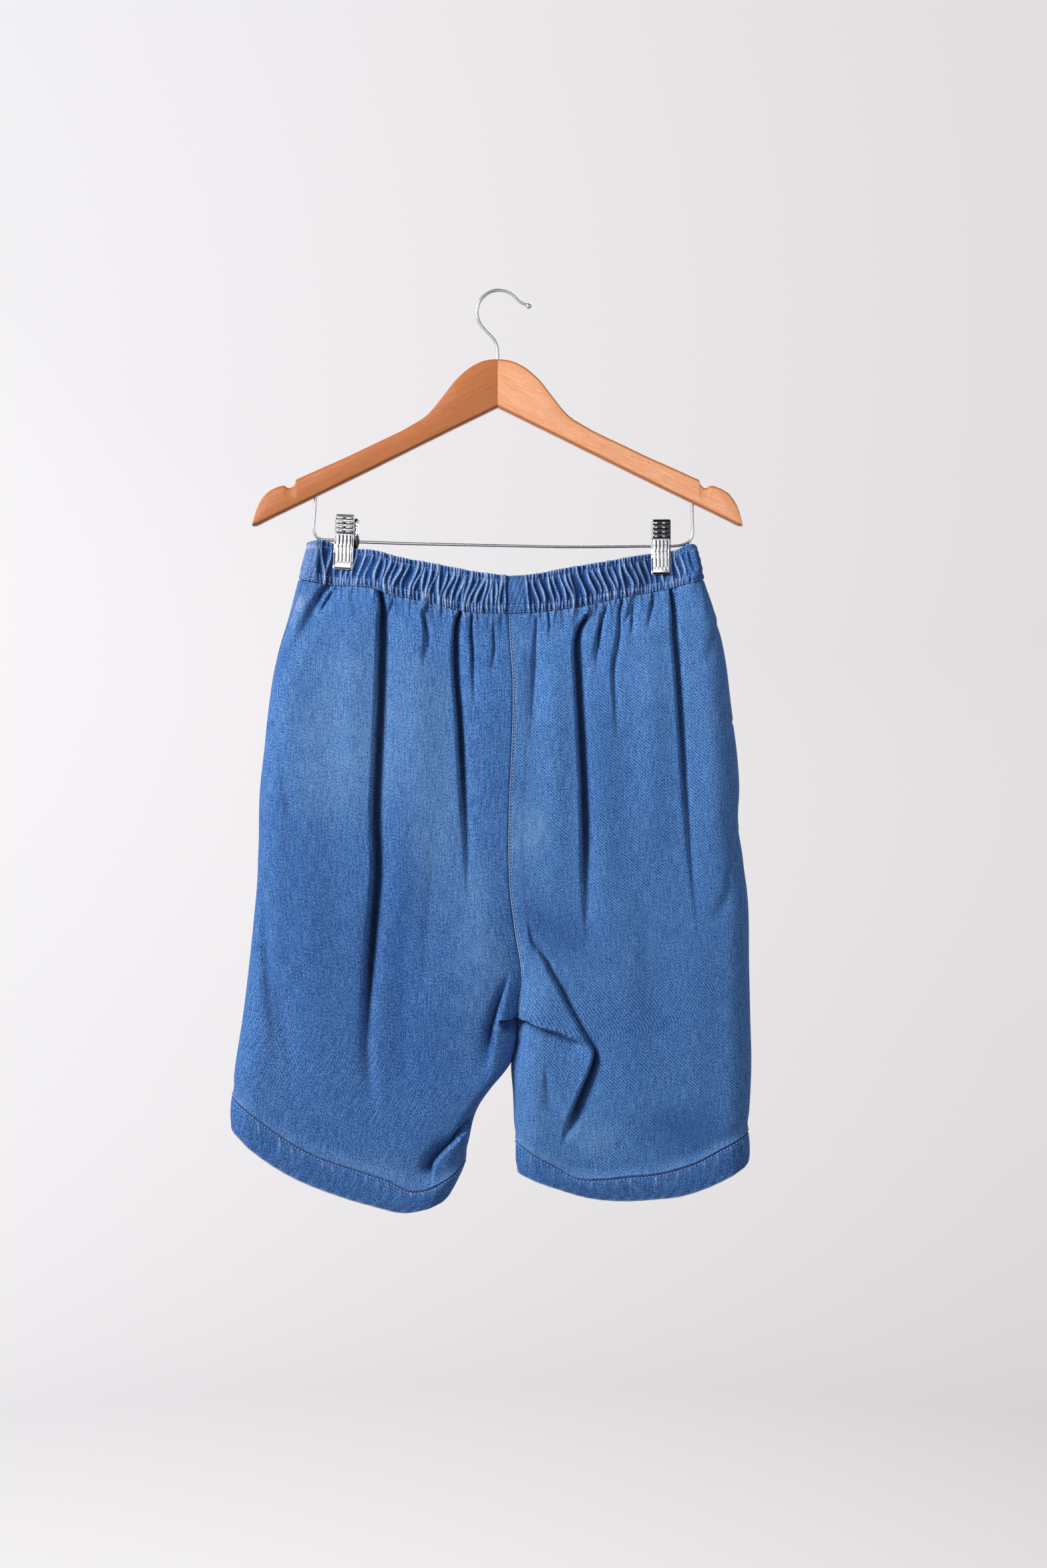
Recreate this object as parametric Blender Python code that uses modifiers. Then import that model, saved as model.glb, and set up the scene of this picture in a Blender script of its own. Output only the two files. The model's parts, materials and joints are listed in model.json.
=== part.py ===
"""Pull-on denim shorts with a gathered elastic waist, on a wooden hanger with two spring clips.

Metres, +Z up. The origin is the highest point of the inside of the hook, where the hanger is
held. The garment's back faces -Y. Tables and sizes are in millimetres and are scaled by MM.
"""

import bpy
import bmesh
from collections import namedtuple
from math import cos, exp, pi, radians, sin, sqrt
from mathutils import Matrix, Vector

MM = 0.001
SEAM_GAP = 0.3            # between pieces that are sewn or fitted together
CLOTH_Y = -19.0           # middle plane of the hanging shorts, under the hanger's bar
PANEL_WALL = 1.6          # denim with its felled allowances
HEM_WALL = 2.6            # cloth turned twice
BAND_WALL = 2.6           # casing: two layers of denim round an elastic
HEM_PROUD = 0.5           # how far the turned hem stands out over the panel
GATHERS = {"left": 33, "right": 24}     # ridges of the casing on each half of the back

Edge = namedtuple("Edge", "x z")
Depth = namedtuple("Depth", "v back front")
Band = namedtuple("Band", "x half_gap")
Fold = namedtuple("Fold", "x_top z_top x_mid z_mid x_low z_low width depth")
Arm = namedtuple("Arm", "out top bottom")
Plate = namedtuple("Plate", "height offset")

# ---------------------------------------------------------------- outlines of the garment

WAIST_TOP = {
    "left": [Edge(-173.5, -233), Edge(-158.5, -231.5), Edge(-140, -237.5), Edge(-112.5, -241),
             Edge(-88.5, -247.5), Edge(-52, -254.5), Edge(-15, -261.5), Edge(10.5, -264.5)],
    "right": [Edge(182, -236), Edge(173.5, -235.5), Edge(161.5, -241), Edge(137, -244),
              Edge(100.5, -251), Edge(64, -257), Edge(33.5, -263), Edge(10.5, -264.5)],
}
WAIST_SEAM = {
    "left": [Edge(-181.5, -268.5), Edge(-149, -274), Edge(-119, -275.5), Edge(-94.5, -283),
             Edge(-64, -289.5), Edge(-27.5, -298.5), Edge(10.5, -300)],
    "right": [Edge(189, -268.5), Edge(149, -278.5), Edge(112.5, -285.5), Edge(76, -293.5),
              Edge(39.5, -298.5), Edge(10.5, -300)],
}
SIDE = {
    "left": [Edge(-181.5, -268.5), Edge(-189, -299.5), Edge(-200, -336), Edge(-207.5, -372.5),
             Edge(-213, -421.5), Edge(-217.5, -464), Edge(-218.5, -513), Edge(-221.5, -567.5),
             Edge(-226.5, -616.5), Edge(-232.5, -665), Edge(-240, -713.5), Edge(-242.5, -740)],
    "right": [Edge(189, -268.5), Edge(199, -299.5), Edge(207.5, -336), Edge(213, -379),
              Edge(219, -427.5), Edge(221, -458), Edge(220, -488.5), Edge(226, -531),
              Edge(229.5, -567.5), Edge(230, -616.5), Edge(231, -665), Edge(232, -713.5),
              Edge(229, -773)],
}
CENTRE_SEAM = [Edge(10.5, -300), Edge(11.5, -324), Edge(14, -360.5), Edge(13.5, -409),
               Edge(10.5, -482.5), Edge(11, -543), Edge(16, -586), Edge(22.5, -625.5),
               Edge(19, -653), Edge(18.5, -667)]
INSEAM = {
    "left": [Edge(18.5, -667), Edge(16.5, -690.5), Edge(9.5, -710.5), Edge(-2, -726),
             Edge(-16, -747), Edge(-22.5, -765.5), Edge(-29, -798)],
    "right": [Edge(18.5, -667), Edge(17.5, -689.5), Edge(14.5, -707.5), Edge(13.5, -720),
              Edge(14, -738), Edge(15, -768.5), Edge(16.5, -780.5)],
}
HEM_STITCH = {
    "left": [Edge(-242.5, -740), Edge(-222.5, -755), Edge(-198, -773), Edge(-173.5, -788),
             Edge(-149, -798), Edge(-100.5, -814), Edge(-79, -824), Edge(-61, -822),
             Edge(-42, -811), Edge(-29, -798)],
    "right": [Edge(229, -773), Edge(204.5, -785.5), Edge(178.5, -799), Edge(148, -808),
              Edge(119, -811), Edge(94.5, -813.5), Edge(71.5, -812.5), Edge(52, -802),
              Edge(33.5, -792.5), Edge(16.5, -780.5)],
}
HEM_EDGE = {
    "left": [Edge(-243, -768.5), Edge(-222.5, -787), Edge(-198, -804), Edge(-173.5, -816.5),
             Edge(-137, -830), Edge(-112.5, -837), Edge(-85.5, -843), Edge(-64, -840),
             Edge(-52, -835.5), Edge(-44.5, -831)],
    "right": [Edge(229.5, -799.5), Edge(216, -808), Edge(192, -819.5), Edge(167.5, -827.5),
              Edge(143, -830.5), Edge(112.5, -832), Edge(82, -829), Edge(52, -820.5),
              Edge(19, -809.5)],
}
CROTCH_V = 0.74           # share of the panel's length, from waist to hem, where the legs part
LEG_GAP = 0.2             # sideways, from the centre seam's line to each half
ROUNDED = 0.12            # share of a panel's width that turns over at its side
LEVEL_BELOW_V = 0.08      # the walls' edges are square to the seams at the waist and the hem
LEVEL_ABOVE_V = (0.85, 0.97)

# Half the depth of the hanging garment at each share v of the panel (1 to 2 is the hem).
HALF_DEPTH = [Depth(0.0, 11.0, 10.0), Depth(0.07, 16.0, 14.0), Depth(0.2, 22.0, 20.0),
              Depth(0.4, 25.0, 23.0), Depth(0.74, 26.0, 24.0), Depth(1.0, 23.0, 22.0),
              Depth(2.0, 21.5, 21.5)]

# Half the space between the casing's inner faces, from the left side to the right.
BAND_SPACE = [Band(-182, 5.0), Band(-165, 5.5), Band(-112, 6.5), Band(-60, 8.5), Band(10, 9.5),
              Band(70, 8.5), Band(120, 6.5), Band(170, 5.5), Band(189, 5.0)]
CLIP_X = {"left": -140.0, "right": 149.5}
PINCHED_GAP = 0.2         # half the space between the layers in a clip
PINCH_WIDTH = (9.5, 32.0)       # sideways, where the pinch starts to ease and where it ends
PINCH_HEIGHT = (-260.0, -302.0)

# Folds: a trough's route from its top to its low end, its half width and its depth.
FOLDS_BACK = [
    Fold(-157, -276, -176, -303, -195, -349, 5.5, 3.5),
    Fold(-108, -278, -109.5, -446, -118, -714, 6.5, 7.5),
    Fold(-36, -302, -34.5, -409, -27.5, -556, 6.0, 6.0),
    Fold(-25, -302, -24, -336, -22, -373, 4.5, 2.5),
    Fold(-67, -290, -65, -306, -66, -324, 4.5, 2.0),
    Fold(-218, -550, -210, -616, -201, -690, 7.0, 4.0),
    Fold(-85, -556, -85, -634, -85, -714, 11.0, 2.0),
    Fold(78, -302, 71, -380, 73.5, -610, 6.5, 7.0),
    Fold(33, -324, 34, -366, 33, -409, 9.0, 2.5),
    Fold(94, -302, 90, -333, 87, -346, 4.5, 2.0),
    Fold(111, -290, 106, -354, 102, -440, 5.0, 3.5),
    Fold(157, -278, 163, -409, 186, -622, 6.0, 6.0),
    Fold(216, -394, 211, -402, 206, -420, 7.0, 3.0),
    Fold(221, -492, 217, -522, 211, -552, 8.0, 3.5),
    Fold(30, -576, 68, -650, 84, -712, 7.0, 5.0),
    Fold(84, -712, 74, -744, 58, -787, 7.0, 3.5),
    Fold(24, -669, 52, -681, 84, -693, 5.0, 2.5),
    Fold(14, -612, 2, -640, -3, -700, 6.0, 3.5),
    Fold(-23, -756, -45, -788, -58, -813, 6.0, 3.0),
]
FOLDS_FRONT = [
    Fold(-150, -276, -152, -380, -160, -560, 6.5, 5.0),
    Fold(-92, -280, -86, -420, -96, -690, 7.0, 5.5),
    Fold(-30, -300, -28, -360, -24, -440, 5.5, 3.5),
    Fold(62, -296, 66, -400, 78, -640, 6.5, 5.5),
    Fold(128, -284, 134, -400, 146, -600, 6.5, 5.0),
    Fold(38, -566, 58, -640, 64, -720, 7.0, 4.0),
    Fold(0, -590, -18, -640, -30, -700, 7.0, 4.0),
    Fold(214, -520, 206, -560, 196, -600, 8.0, 3.0),
]
FOLD_STEPS = 20
FOLD_FADE_FROM = 0.6      # share of a fold's length past which it fades


# ---------------------------------------------------------------- shared helpers

def ease(share):
    """0 below 0, 1 above 1, and a smooth step between."""
    share = min(max(share, 0.0), 1.0)
    return share * share * (3.0 - 2.0 * share)


def mix(first, second, share):
    return first + (second - first) * share


def smooth_curve(points):
    """A smooth curve through points, as a function of the share of its length."""
    points = [Vector(point) for point in points]
    run = [0.0]
    for here, following in zip(points, points[1:]):
        run.append(run[-1] + (following - here).length)
    last = len(points) - 1
    slopes = []
    for index in range(last + 1):
        low, high = max(index - 1, 0), min(index + 1, last)
        slopes.append((points[high] - points[low]) / (run[high] - run[low]))

    def at(share):
        distance = min(max(share, 0.0), 1.0) * run[-1]
        index = 0
        while index < last - 1 and run[index + 1] < distance:
            index += 1
        step = run[index + 1] - run[index]
        t = (distance - run[index]) / step
        start, end = points[index], points[index + 1]
        bend_in, bend_out = slopes[index] * step, slopes[index + 1] * step
        return (start * (1 + 2 * t) * (1 - t) ** 2 + bend_in * t * (1 - t) ** 2
                + end * t * t * (3 - 2 * t) + bend_out * t * t * (t - 1))

    return at


def column(rows, name, position):
    """The named column of a table at a position along its first column, with eased steps."""
    keys = [row[0] for row in rows]
    if position <= keys[0]:
        return getattr(rows[0], name)
    for low, high in zip(rows, rows[1:]):
        if position <= high[0]:
            share = (position - low[0]) / (high[0] - low[0])
            return mix(getattr(low, name), getattr(high, name), ease(share))
    return getattr(rows[-1], name)


def material(name, colour, roughness, metallic=0.0):
    made = bpy.data.materials.new(name)
    made.use_nodes = True
    shader = made.node_tree.nodes["Principled BSDF"]
    shader.inputs["Base Color"].default_value = (*colour, 1.0)
    shader.inputs["Roughness"].default_value = roughness
    shader.inputs["Metallic"].default_value = metallic
    made.diffuse_color = (*colour, 1.0)
    return made


def place(name, data, finish, sharp_angle=40.0):
    """Puts a mesh or a curve in the garment's collection as one named object."""
    data.materials.append(finish)
    made = bpy.data.objects.new(name, data)
    parts.objects.link(made)
    if isinstance(data, bpy.types.Mesh):
        data.shade_smooth()
        data.set_sharp_from_angle(angle=radians(sharp_angle))
    return made


def loft(name, rings, finish):
    """Skins closed rings of one even count of points, in mm, and closes both ends with quads."""
    shape = bmesh.new()
    rows = [[shape.verts.new(Vector(point) * MM) for point in ring] for ring in rings]
    count = len(rows[0])
    for row, following in zip(rows, rows[1:]):
        for k in range(count):
            nxt = (k + 1) % count
            shape.faces.new((row[k], row[nxt], following[nxt], following[k]))
    for row in (rows[0], rows[-1]):
        for k in range(count // 2 - 1):
            shape.faces.new((row[k], row[k + 1], row[count - 2 - k], row[count - 1 - k]))
    bmesh.ops.recalc_face_normals(shape, faces=shape.faces)
    if shape.calc_volume(signed=True) < 0:
        bmesh.ops.reverse_faces(shape, faces=shape.faces)
    data = bpy.data.meshes.new(name)
    shape.to_mesh(data)
    shape.free()
    return place(name, data, finish)


def wire(name, route, count, radius, finish, sides=2):
    """A round wire along a smooth curve through a route's points, in mm."""
    at = smooth_curve(route)
    data = bpy.data.curves.new(name, "CURVE")
    data.dimensions = "3D"
    data.bevel_depth = radius * MM
    data.bevel_resolution = sides
    data.use_fill_caps = True
    spline = data.splines.new("POLY")
    spline.points.add(count - 1)
    for index, point in enumerate(spline.points):
        point.co = (*(at(index / (count - 1)) * MM), 1.0)
    return place(name, data, finish)


for old in list(bpy.data.objects):
    bpy.data.objects.remove(old, do_unlink=True)
parts = bpy.data.collections.new("denim_shorts_on_hanger")
bpy.context.scene.collection.children.link(parts)

DENIM = material("denim", (0.065, 0.19, 0.50), 0.85)
WOOD = material("varnished_wood", (0.62, 0.28, 0.07), 0.35)
STEEL = material("bright_steel", (0.75, 0.75, 0.77), 0.2, 1.0)
CHROME = material("chrome", (0.85, 0.85, 0.87), 0.1, 1.0)
PLASTIC = material("black_plastic", (0.015, 0.015, 0.017), 0.5)


# ---------------------------------------------------------------- the form of the cloth

def pinch(x, z):
    """How far the clips press the layers together: 1 in a clip's jaws, 0 away from them."""
    nearest = min(abs(x - centre) for centre in CLIP_X.values())
    across = 1.0 - ease((nearest - PINCH_WIDTH[0]) / (PINCH_WIDTH[1] - PINCH_WIDTH[0]))
    down = 1.0 - ease((z - PINCH_HEIGHT[0]) / (PINCH_HEIGHT[1] - PINCH_HEIGHT[0]))
    return across * down


def fold_route(fold):
    """Points along a fold, on the curve through its top, middle and low end."""
    top, low = Vector((fold.x_top, fold.z_top)), Vector((fold.x_low, fold.z_low))
    middle = Vector((fold.x_mid, fold.z_mid))
    pull = middle * 2.0 - (top + low) * 0.5
    steps = [index / FOLD_STEPS for index in range(FOLD_STEPS + 1)]
    return [top * (1 - t) ** 2 + pull * 2 * t * (1 - t) + low * t * t for t in steps]


def trough(folds, x, z):
    """Depth of all folds together at a place on the cloth."""
    depth = 0.0
    for fold, route in folds:
        here = Vector((x, z))
        distance, index = min(((point - here).length, k) for k, point in enumerate(route))
        t = index / FOLD_STEPS
        fade = 1.0 - 0.85 * ease((t - FOLD_FADE_FROM) / (1.0 - FOLD_FADE_FROM))
        depth += fold.depth * fade * exp(-(distance / fold.width) ** 2)
    return depth


folds_of = {
    "back": [(fold, fold_route(fold)) for fold in FOLDS_BACK],
    "front": [(fold, fold_route(fold)) for fold in FOLDS_FRONT],
}


class Half:
    """One half of the shorts, left or right. Round the half, u runs from -1 at the front's
    inner edge through 0 at the side to 1 at the back's inner edge. Down the panel v runs
    from 0 at the waist seam to 1 at the hem's stitches, and to 2 at the hem's edge."""

    def __init__(self, side):
        self.outward = -1.0 if side == "left" else 1.0
        self.waist = smooth_curve(WAIST_SEAM[side])
        self.side = smooth_curve(SIDE[side])
        self.centre = smooth_curve(CENTRE_SEAM)
        self.inseam = smooth_curve(INSEAM[side])
        self.stitch = smooth_curve(HEM_STITCH[side])
        self.edge = smooth_curve(HEM_EDGE[side])

    def inner(self, v):
        """The inner edge: the centre seam down to the crotch, then the inseam."""
        if v <= CROTCH_V:
            point = self.centre(v / CROTCH_V)
        else:
            point = self.inseam((v - CROTCH_V) / (1.0 - CROTCH_V))
        return point + Vector((self.outward * LEG_GAP, 0.0))

    def outline(self, s, v):
        """Place in the garment's plane at a share s of the width and v of the length."""
        if v > 1.0:
            return mix(self.stitch(s), self.edge(s), v - 1.0)
        corners = mix(mix(self.waist(0.0), self.waist(1.0), s),
                      mix(self.stitch(0.0), self.stitch(1.0), s), v)
        return (mix(self.waist(s), self.stitch(s), v)
                + mix(self.side(v), self.inner(v), s) - corners)

    def skin(self, u, v):
        """A point of the cloth's outer face before its folds, in mm."""
        across = abs(u)
        share, rise, fall = across, 1.0, 1.0
        if across < ROUNDED:
            turn = across / ROUNDED * pi / 2
            share, rise = ROUNDED * (1 - cos(turn)), sin(turn)
        elif across > 1.0 - ROUNDED:
            turn = max(1.0 - across, 0.0) / ROUNDED * pi / 2
            share, fall = 1.0 - ROUNDED * (1 - cos(turn)), sin(turn)
        place_xz = self.outline(share, v)
        open_share = sqrt(max(1.0 - (v / CROTCH_V) ** 6, 0.0))
        closing = open_share + (1.0 - open_share) * fall ** (1.0 + open_share)
        depth = column(HALF_DEPTH, "back" if u >= 0 else "front", v)
        pinched = PINCHED_GAP + BAND_WALL
        depth = mix(depth, pinched, pinch(place_xz.x, place_xz.y)) * rise * closing
        front = -1.0 if u >= 0 else 1.0
        return Vector((place_xz.x, CLOTH_Y + front * depth, place_xz.y))

    def outward_normal(self, u, v):
        """Unit vector square to the cloth, pointing out of the garment."""
        du, dv = 0.004, 0.006
        across = self.skin(min(u + du, 1.0), v) - self.skin(max(u - du, -1.0), v)
        down = self.skin(u, min(v + dv, 2.0)) - self.skin(u, max(v - dv, 0.0))
        normal = across.cross(down).normalized() * self.outward
        level = ease(v / LEVEL_BELOW_V) * ease((LEVEL_ABOVE_V[1] - v)
                                               / (LEVEL_ABOVE_V[1] - LEVEL_ABOVE_V[0]))
        normal.z *= level
        return normal.normalized()

    def faces(self, u, v, wall, proud=0.0):
        """The outer and inner points of the wall at a place, with its folds."""
        point, normal = self.skin(u, v), self.outward_normal(u, v)
        depth = trough(folds_of["back" if u >= 0 else "front"], point.x, point.z)
        outer = point + normal * (proud - depth)
        inner = point + normal * (proud - depth - wall)
        return self.keep_apart(outer, u, v), self.keep_apart(inner, u, v)

    def keep_apart(self, point, u, v):
        """Keeps back and front, and left and right, half a seam's gap from each other."""
        half_gap = SEAM_GAP / 2
        if u > SIDE_TURN:
            point.y = min(point.y, CLOTH_Y - half_gap)
        elif u <= 0:
            point.y = max(point.y, CLOTH_Y + half_gap)
        limit = self.inner(min(v, 1.0)).x
        point.x = self.outward * max(self.outward * point.x, self.outward * limit)
        return point


SIDE_TURN = 0.06          # how far, in u, the left front turns over the side onto the back
TURN_ENDS_V = 0.3
halves = {side: Half(side) for side in ("left", "right")}


def side_seam(side, v):
    """The side seam's place u: on the left the front's pocket edge turns over to the back."""
    return SIDE_TURN * (1.0 - ease(v / TURN_ENDS_V)) if side == "left" else 0.0


def spread(start, end, count):
    return [mix(start, end, index / (count - 1)) for index in range(count)]


def cloth_piece(name, side, layer, u_count, v_values, wall, proud=0.0):
    """A panel or a hem of one half, from its side seam to its inner edge."""
    half = halves[side]
    rings = []
    for v in v_values:
        seam = side_seam(side, v)
        end = 1.0 if layer == "back" else -1.0
        pairs = [half.faces(u, v, wall, proud) for u in spread(seam, end, u_count)]
        toward = (half.skin(mix(seam, end, 0.01), v) - half.skin(seam, v)).normalized()
        pairs[0] = tuple(point + toward * SEAM_GAP / 2 for point in pairs[0])
        rings.append([outer for outer, inner in pairs] + [inner for outer, inner in pairs[::-1]])
    return loft(name, rings, DENIM)


# ---------------------------------------------------------------- panels and hems

PANEL_ROWS = 17
PANEL_COLUMNS = {"back": 31, "front": 17}
HEM_START_V = 1.0
HEM_ROWS = (0.0, 0.25, 1.0)     # shares of the hem's height
crotch_row = round((PANEL_ROWS - 1) * CROTCH_V)
panel_rows = (spread(0.0, CROTCH_V, crotch_row + 1)
              + spread(CROTCH_V, HEM_START_V, PANEL_ROWS - crotch_row)[1:])


def below_the_seam(v_values, height):
    """Moves the last row up, so that it ends a seam's gap above the hem."""
    return [*v_values[:-1], v_values[-1] - SEAM_GAP / height]


PANEL_HEIGHT = 480.0      # about, from the waist seam to the hem's stitches
HEM_HEIGHT = 26.0
for side in ("left", "right"):
    for layer in ("back", "front"):
        rows = below_the_seam(panel_rows, PANEL_HEIGHT)
        cloth_piece(f"{layer}_{side}", side, layer, PANEL_COLUMNS[layer], rows, PANEL_WALL)
        rows = [HEM_START_V + share + (SEAM_GAP / HEM_HEIGHT if share == 0 else 0.0)
                for share in HEM_ROWS]
        cloth_piece(f"hem_{layer}_{side}", side, layer, PANEL_COLUMNS[layer], rows,
                    HEM_WALL, HEM_PROUD)


# ---------------------------------------------------------------- edges of the side pockets

POCKET_LENGTH_V = 0.24    # down the panel
POCKET_EDGE_U = {"left": (0.030, -0.012), "right": (-0.02, -0.06)}    # at the waist
POCKET_LOW_U = {"left": (-0.010, -0.045), "right": (-0.02, -0.06)}
EDGE_WALL = 0.9
POCKET_ROWS = 9
for side, half in halves.items():
    rings = []
    for share in spread(0.01, 1.0, POCKET_ROWS):
        v = share * POCKET_LENGTH_V
        ends = [mix(high, low, share) for high, low in zip(POCKET_EDGE_U[side],
                                                           POCKET_LOW_U[side])]
        places = [(half.skin(u, v), half.outward_normal(u, v),
                   trough(folds_of["back" if u >= 0 else "front"], *half.skin(u, v).xz))
                  for u in spread(*ends, 4)]
        base = [point + normal * (SEAM_GAP - depth) for point, normal, depth in places]
        top = [point + normal * EDGE_WALL
               for point, (_, normal, _) in zip(base, places)]
        rings.append(top + base[::-1])
    loft(f"pocket_edge_{side}", rings, DENIM)


# ---------------------------------------------------------------- gathered waistband casing

BAND_END = 9.0            # length over which the casing turns round the side
RIDGE = {"left": 2.0, "right": 2.4}             # height of the gathers
LEAN = {"left": 4.0, "right": 11.0}             # sideways, from the casing's foot to its top
SMOOTH_CENTRE = {"left": 0.0, "right": 14.0}    # ungathered length beside the centre seam
SMOOTH_SIDE = {"left": 20.0, "right": 10.0}     # ungathered length beside the side seam
BAND_LEVELS = ((0.0, 0.45), (0.2, 1.0), (0.75, 1.0), (1.0, 0.8))    # height share, ridge share
COLUMNS_PER_GATHER = {"back": 3, "front": 2}


def band_columns(side, layer, width):
    """Places along the casing in mm from the side, each with the height of its ridge."""
    turn = [(BAND_END * (1 - cos(radians(angle))), 0.0) for angle in (0, 30, 60, 90)]
    step_count = COLUMNS_PER_GATHER[layer]
    start, end = SMOOTH_SIDE[side], width - SMOOTH_CENTRE[side]
    pitch = (end - start) / GATHERS[side]
    for index in range(GATHERS[side] * step_count):
        crest = 0.72 + 0.28 * sin(2.4 * (index // step_count) + (0 if side == "left" else 1))
        turn.append((start + (index + 0.5) * pitch / step_count,
                     crest if index % step_count == step_count // 2 else 0.0))
    return turn + [(end, 0.0)] + ([(width, 0.0)] if SMOOTH_CENTRE[side] else [])


def band_piece(side, layer):
    top, foot = smooth_curve(WAIST_TOP[side]), smooth_curve(WAIST_SEAM[side])
    outward = -1.0 if side == "left" else 1.0
    front = -1.0 if layer == "back" else 1.0
    width = abs(WAIST_TOP[side][0].x - WAIST_TOP[side][-1].x)

    def face(distance, height):
        """A point of the casing's plain outer face, distance along and height down it."""
        share = distance / width
        lean = LEAN[side] * (height - 0.5) * ease(share / 0.2) * ease((1.0 - share) / 0.15)
        share -= lean / width
        spot = mix(top(share), foot(share), height)
        spot.y += SEAM_GAP * height
        turn = min(distance / BAND_END, 1.0)
        space = column(BAND_SPACE, "half_gap", spot.x) + 1.5 * height
        space = mix(space, PINCHED_GAP, pinch(spot.x, spot.y))
        depth = (space + BAND_WALL) * sqrt(1.0 - (1.0 - turn) ** 2)
        return Vector((spot.x, CLOTH_Y + front * depth, spot.y))

    def normal(distance, height):
        step = 0.4
        along = face(min(distance + step, width), height) - face(max(distance - step, 0), height)
        out = Vector((along.y, -along.x, 0.0)).normalized()
        if distance == 0:
            return Vector((outward, 0.0, 0.0))
        return out if out.y * front > 0 else -out

    rings = []
    for distance, crest in band_columns(side, layer, width):
        ring = []
        for height, share in BAND_LEVELS:
            point, out = face(distance, height), normal(distance, height)
            ridge = RIDGE[side] * crest * share * (1.0 - 0.8 * pinch(point.x, point.z))
            ring.append(point + out * ridge)
        for height in (1.0, 0.0):
            ring.append(face(distance, height) - normal(distance, height) * BAND_WALL)
        shift = Vector((0.0, front * SEAM_GAP / 2, 0.0))
        inset = Vector((outward * LEG_GAP, 0.0, 0.0)) if distance == width else Vector()
        rings.append([point + shift + inset for point in ring])
    return loft(f"waistband_{layer}_{side}", rings, DENIM)


for side in ("left", "right"):
    for layer in ("back", "front"):
        band_piece(side, layer)


# ---------------------------------------------------------------- wooden arms of the hanger

ARM_THICK = 12.0
ARM_SWEEP = 25.0          # how far the arms' ends come forward
ARM_ROUND = 2.6
ARM_SPAN = 223.0
MITRE_GAP = 0.15
ARM_OUTLINE = [
    Arm(0.0, -62.7, -107.2), Arm(9.0, -64.4, -111.5), Arm(21.0, -68.2, -117.8),
    Arm(33.5, -77.3, -124.2), Arm(45.5, -92.3, -130.3), Arm(58.0, -108.7, -136.7),
    Arm(70.0, -119.7, -143.0), Arm(88.0, -130.8, -152.2), Arm(112.5, -142.8, -164.7),
    Arm(137.0, -155.0, -177.2), Arm(161.5, -166.6, -189.6), Arm(184.0, -177.0, -201.2),
    Arm(186.0, -181.2, -202.2), Arm(190.0, -184.2, -204.3), Arm(194.0, -181.8, -206.4),
    Arm(201.0, -183.9, -209.9), Arm(207.0, -187.3, -212.9), Arm(212.0, -192.0, -215.3),
    Arm(217.0, -200.0, -218.0), Arm(220.5, -208.8, -219.8), Arm(223.0, -216.0, -220.4),
]


def arm_y(out):
    return -ARM_SWEEP * out / ARM_SPAN


for side, sign in (("left", -1.0), ("right", 1.0)):
    rings = []
    for row in ARM_OUTLINE:
        x = sign * (row.out + MITRE_GAP)
        middle, deep = arm_y(row.out), ARM_THICK / 2
        bevel = min(ARM_ROUND, (row.top - row.bottom) * 0.3)
        corners = ((-deep + bevel, row.top), (-deep, row.top - bevel),
                   (-deep, row.bottom + bevel), (-deep + bevel, row.bottom),
                   (deep - bevel, row.bottom), (deep, row.bottom + bevel),
                   (deep, row.top - bevel), (deep - bevel, row.top))
        rings.append([(x, middle + y, z) for y, z in corners])
    loft(f"hanger_arm_{side}", rings, WOOD)


# ---------------------------------------------------------------- hook and bar

HOOK_WIRE = 1.5           # radius
HOOK_RADIUS = 20.4        # of the hook's round, at the wire's middle
HOOK_X = 1.2              # the round's centre
HOOK_Z = HOOK_WIRE - HOOK_RADIUS
round_part = [(HOOK_X + HOOK_RADIUS * cos(radians(angle)), 0.0,
               HOOK_Z + HOOK_RADIUS * sin(radians(angle))) for angle in range(50, 226, 25)]
hook_tip = Vector((26.2, 0.0, -11.9))
hook_route = [hook_tip, (20.6, 0, -9.3), *round_part, (-9.1, 0, -37.8), (-4.6, 0, -42.6),
              (-1.6, 0, -48.0), (-0.2, 0, -55.0), (0, 0, -62.7 + SEAM_GAP)]
wire("hook", hook_route, 34, HOOK_WIRE, STEEL)

BALL_RADIUS = 2.7
ball_mesh = bpy.data.meshes.new("hook_ball")
ball = bmesh.new()
bmesh.ops.create_uvsphere(ball, u_segments=12, v_segments=8, radius=BALL_RADIUS * MM)
ball.to_mesh(ball_mesh)
ball.free()
ball_object = place("hook_ball", ball_mesh, STEEL)
tip_direction = (hook_tip - Vector(hook_route[1])).normalized()
ball_object.location = (hook_tip + tip_direction * (BALL_RADIUS + SEAM_GAP)) * MM

BAR_WIRE = 1.4            # radius
BAR_LEG_X = {"left": -166.3, "right": 177.8}


def arm_underside(out):
    """Height of the arm's straight underside."""
    first, last = ARM_OUTLINE[0], ARM_OUTLINE[-3]
    return mix(first.bottom, last.bottom, out / last.out)


def leg_top(side):
    """Where a leg of the bar meets the arm, clear of its slope by the seam's gap."""
    out = abs(BAR_LEG_X[side])
    return (BAR_LEG_X[side], arm_y(out), arm_underside(out + BAR_WIRE) - 2 * SEAM_GAP)


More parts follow.
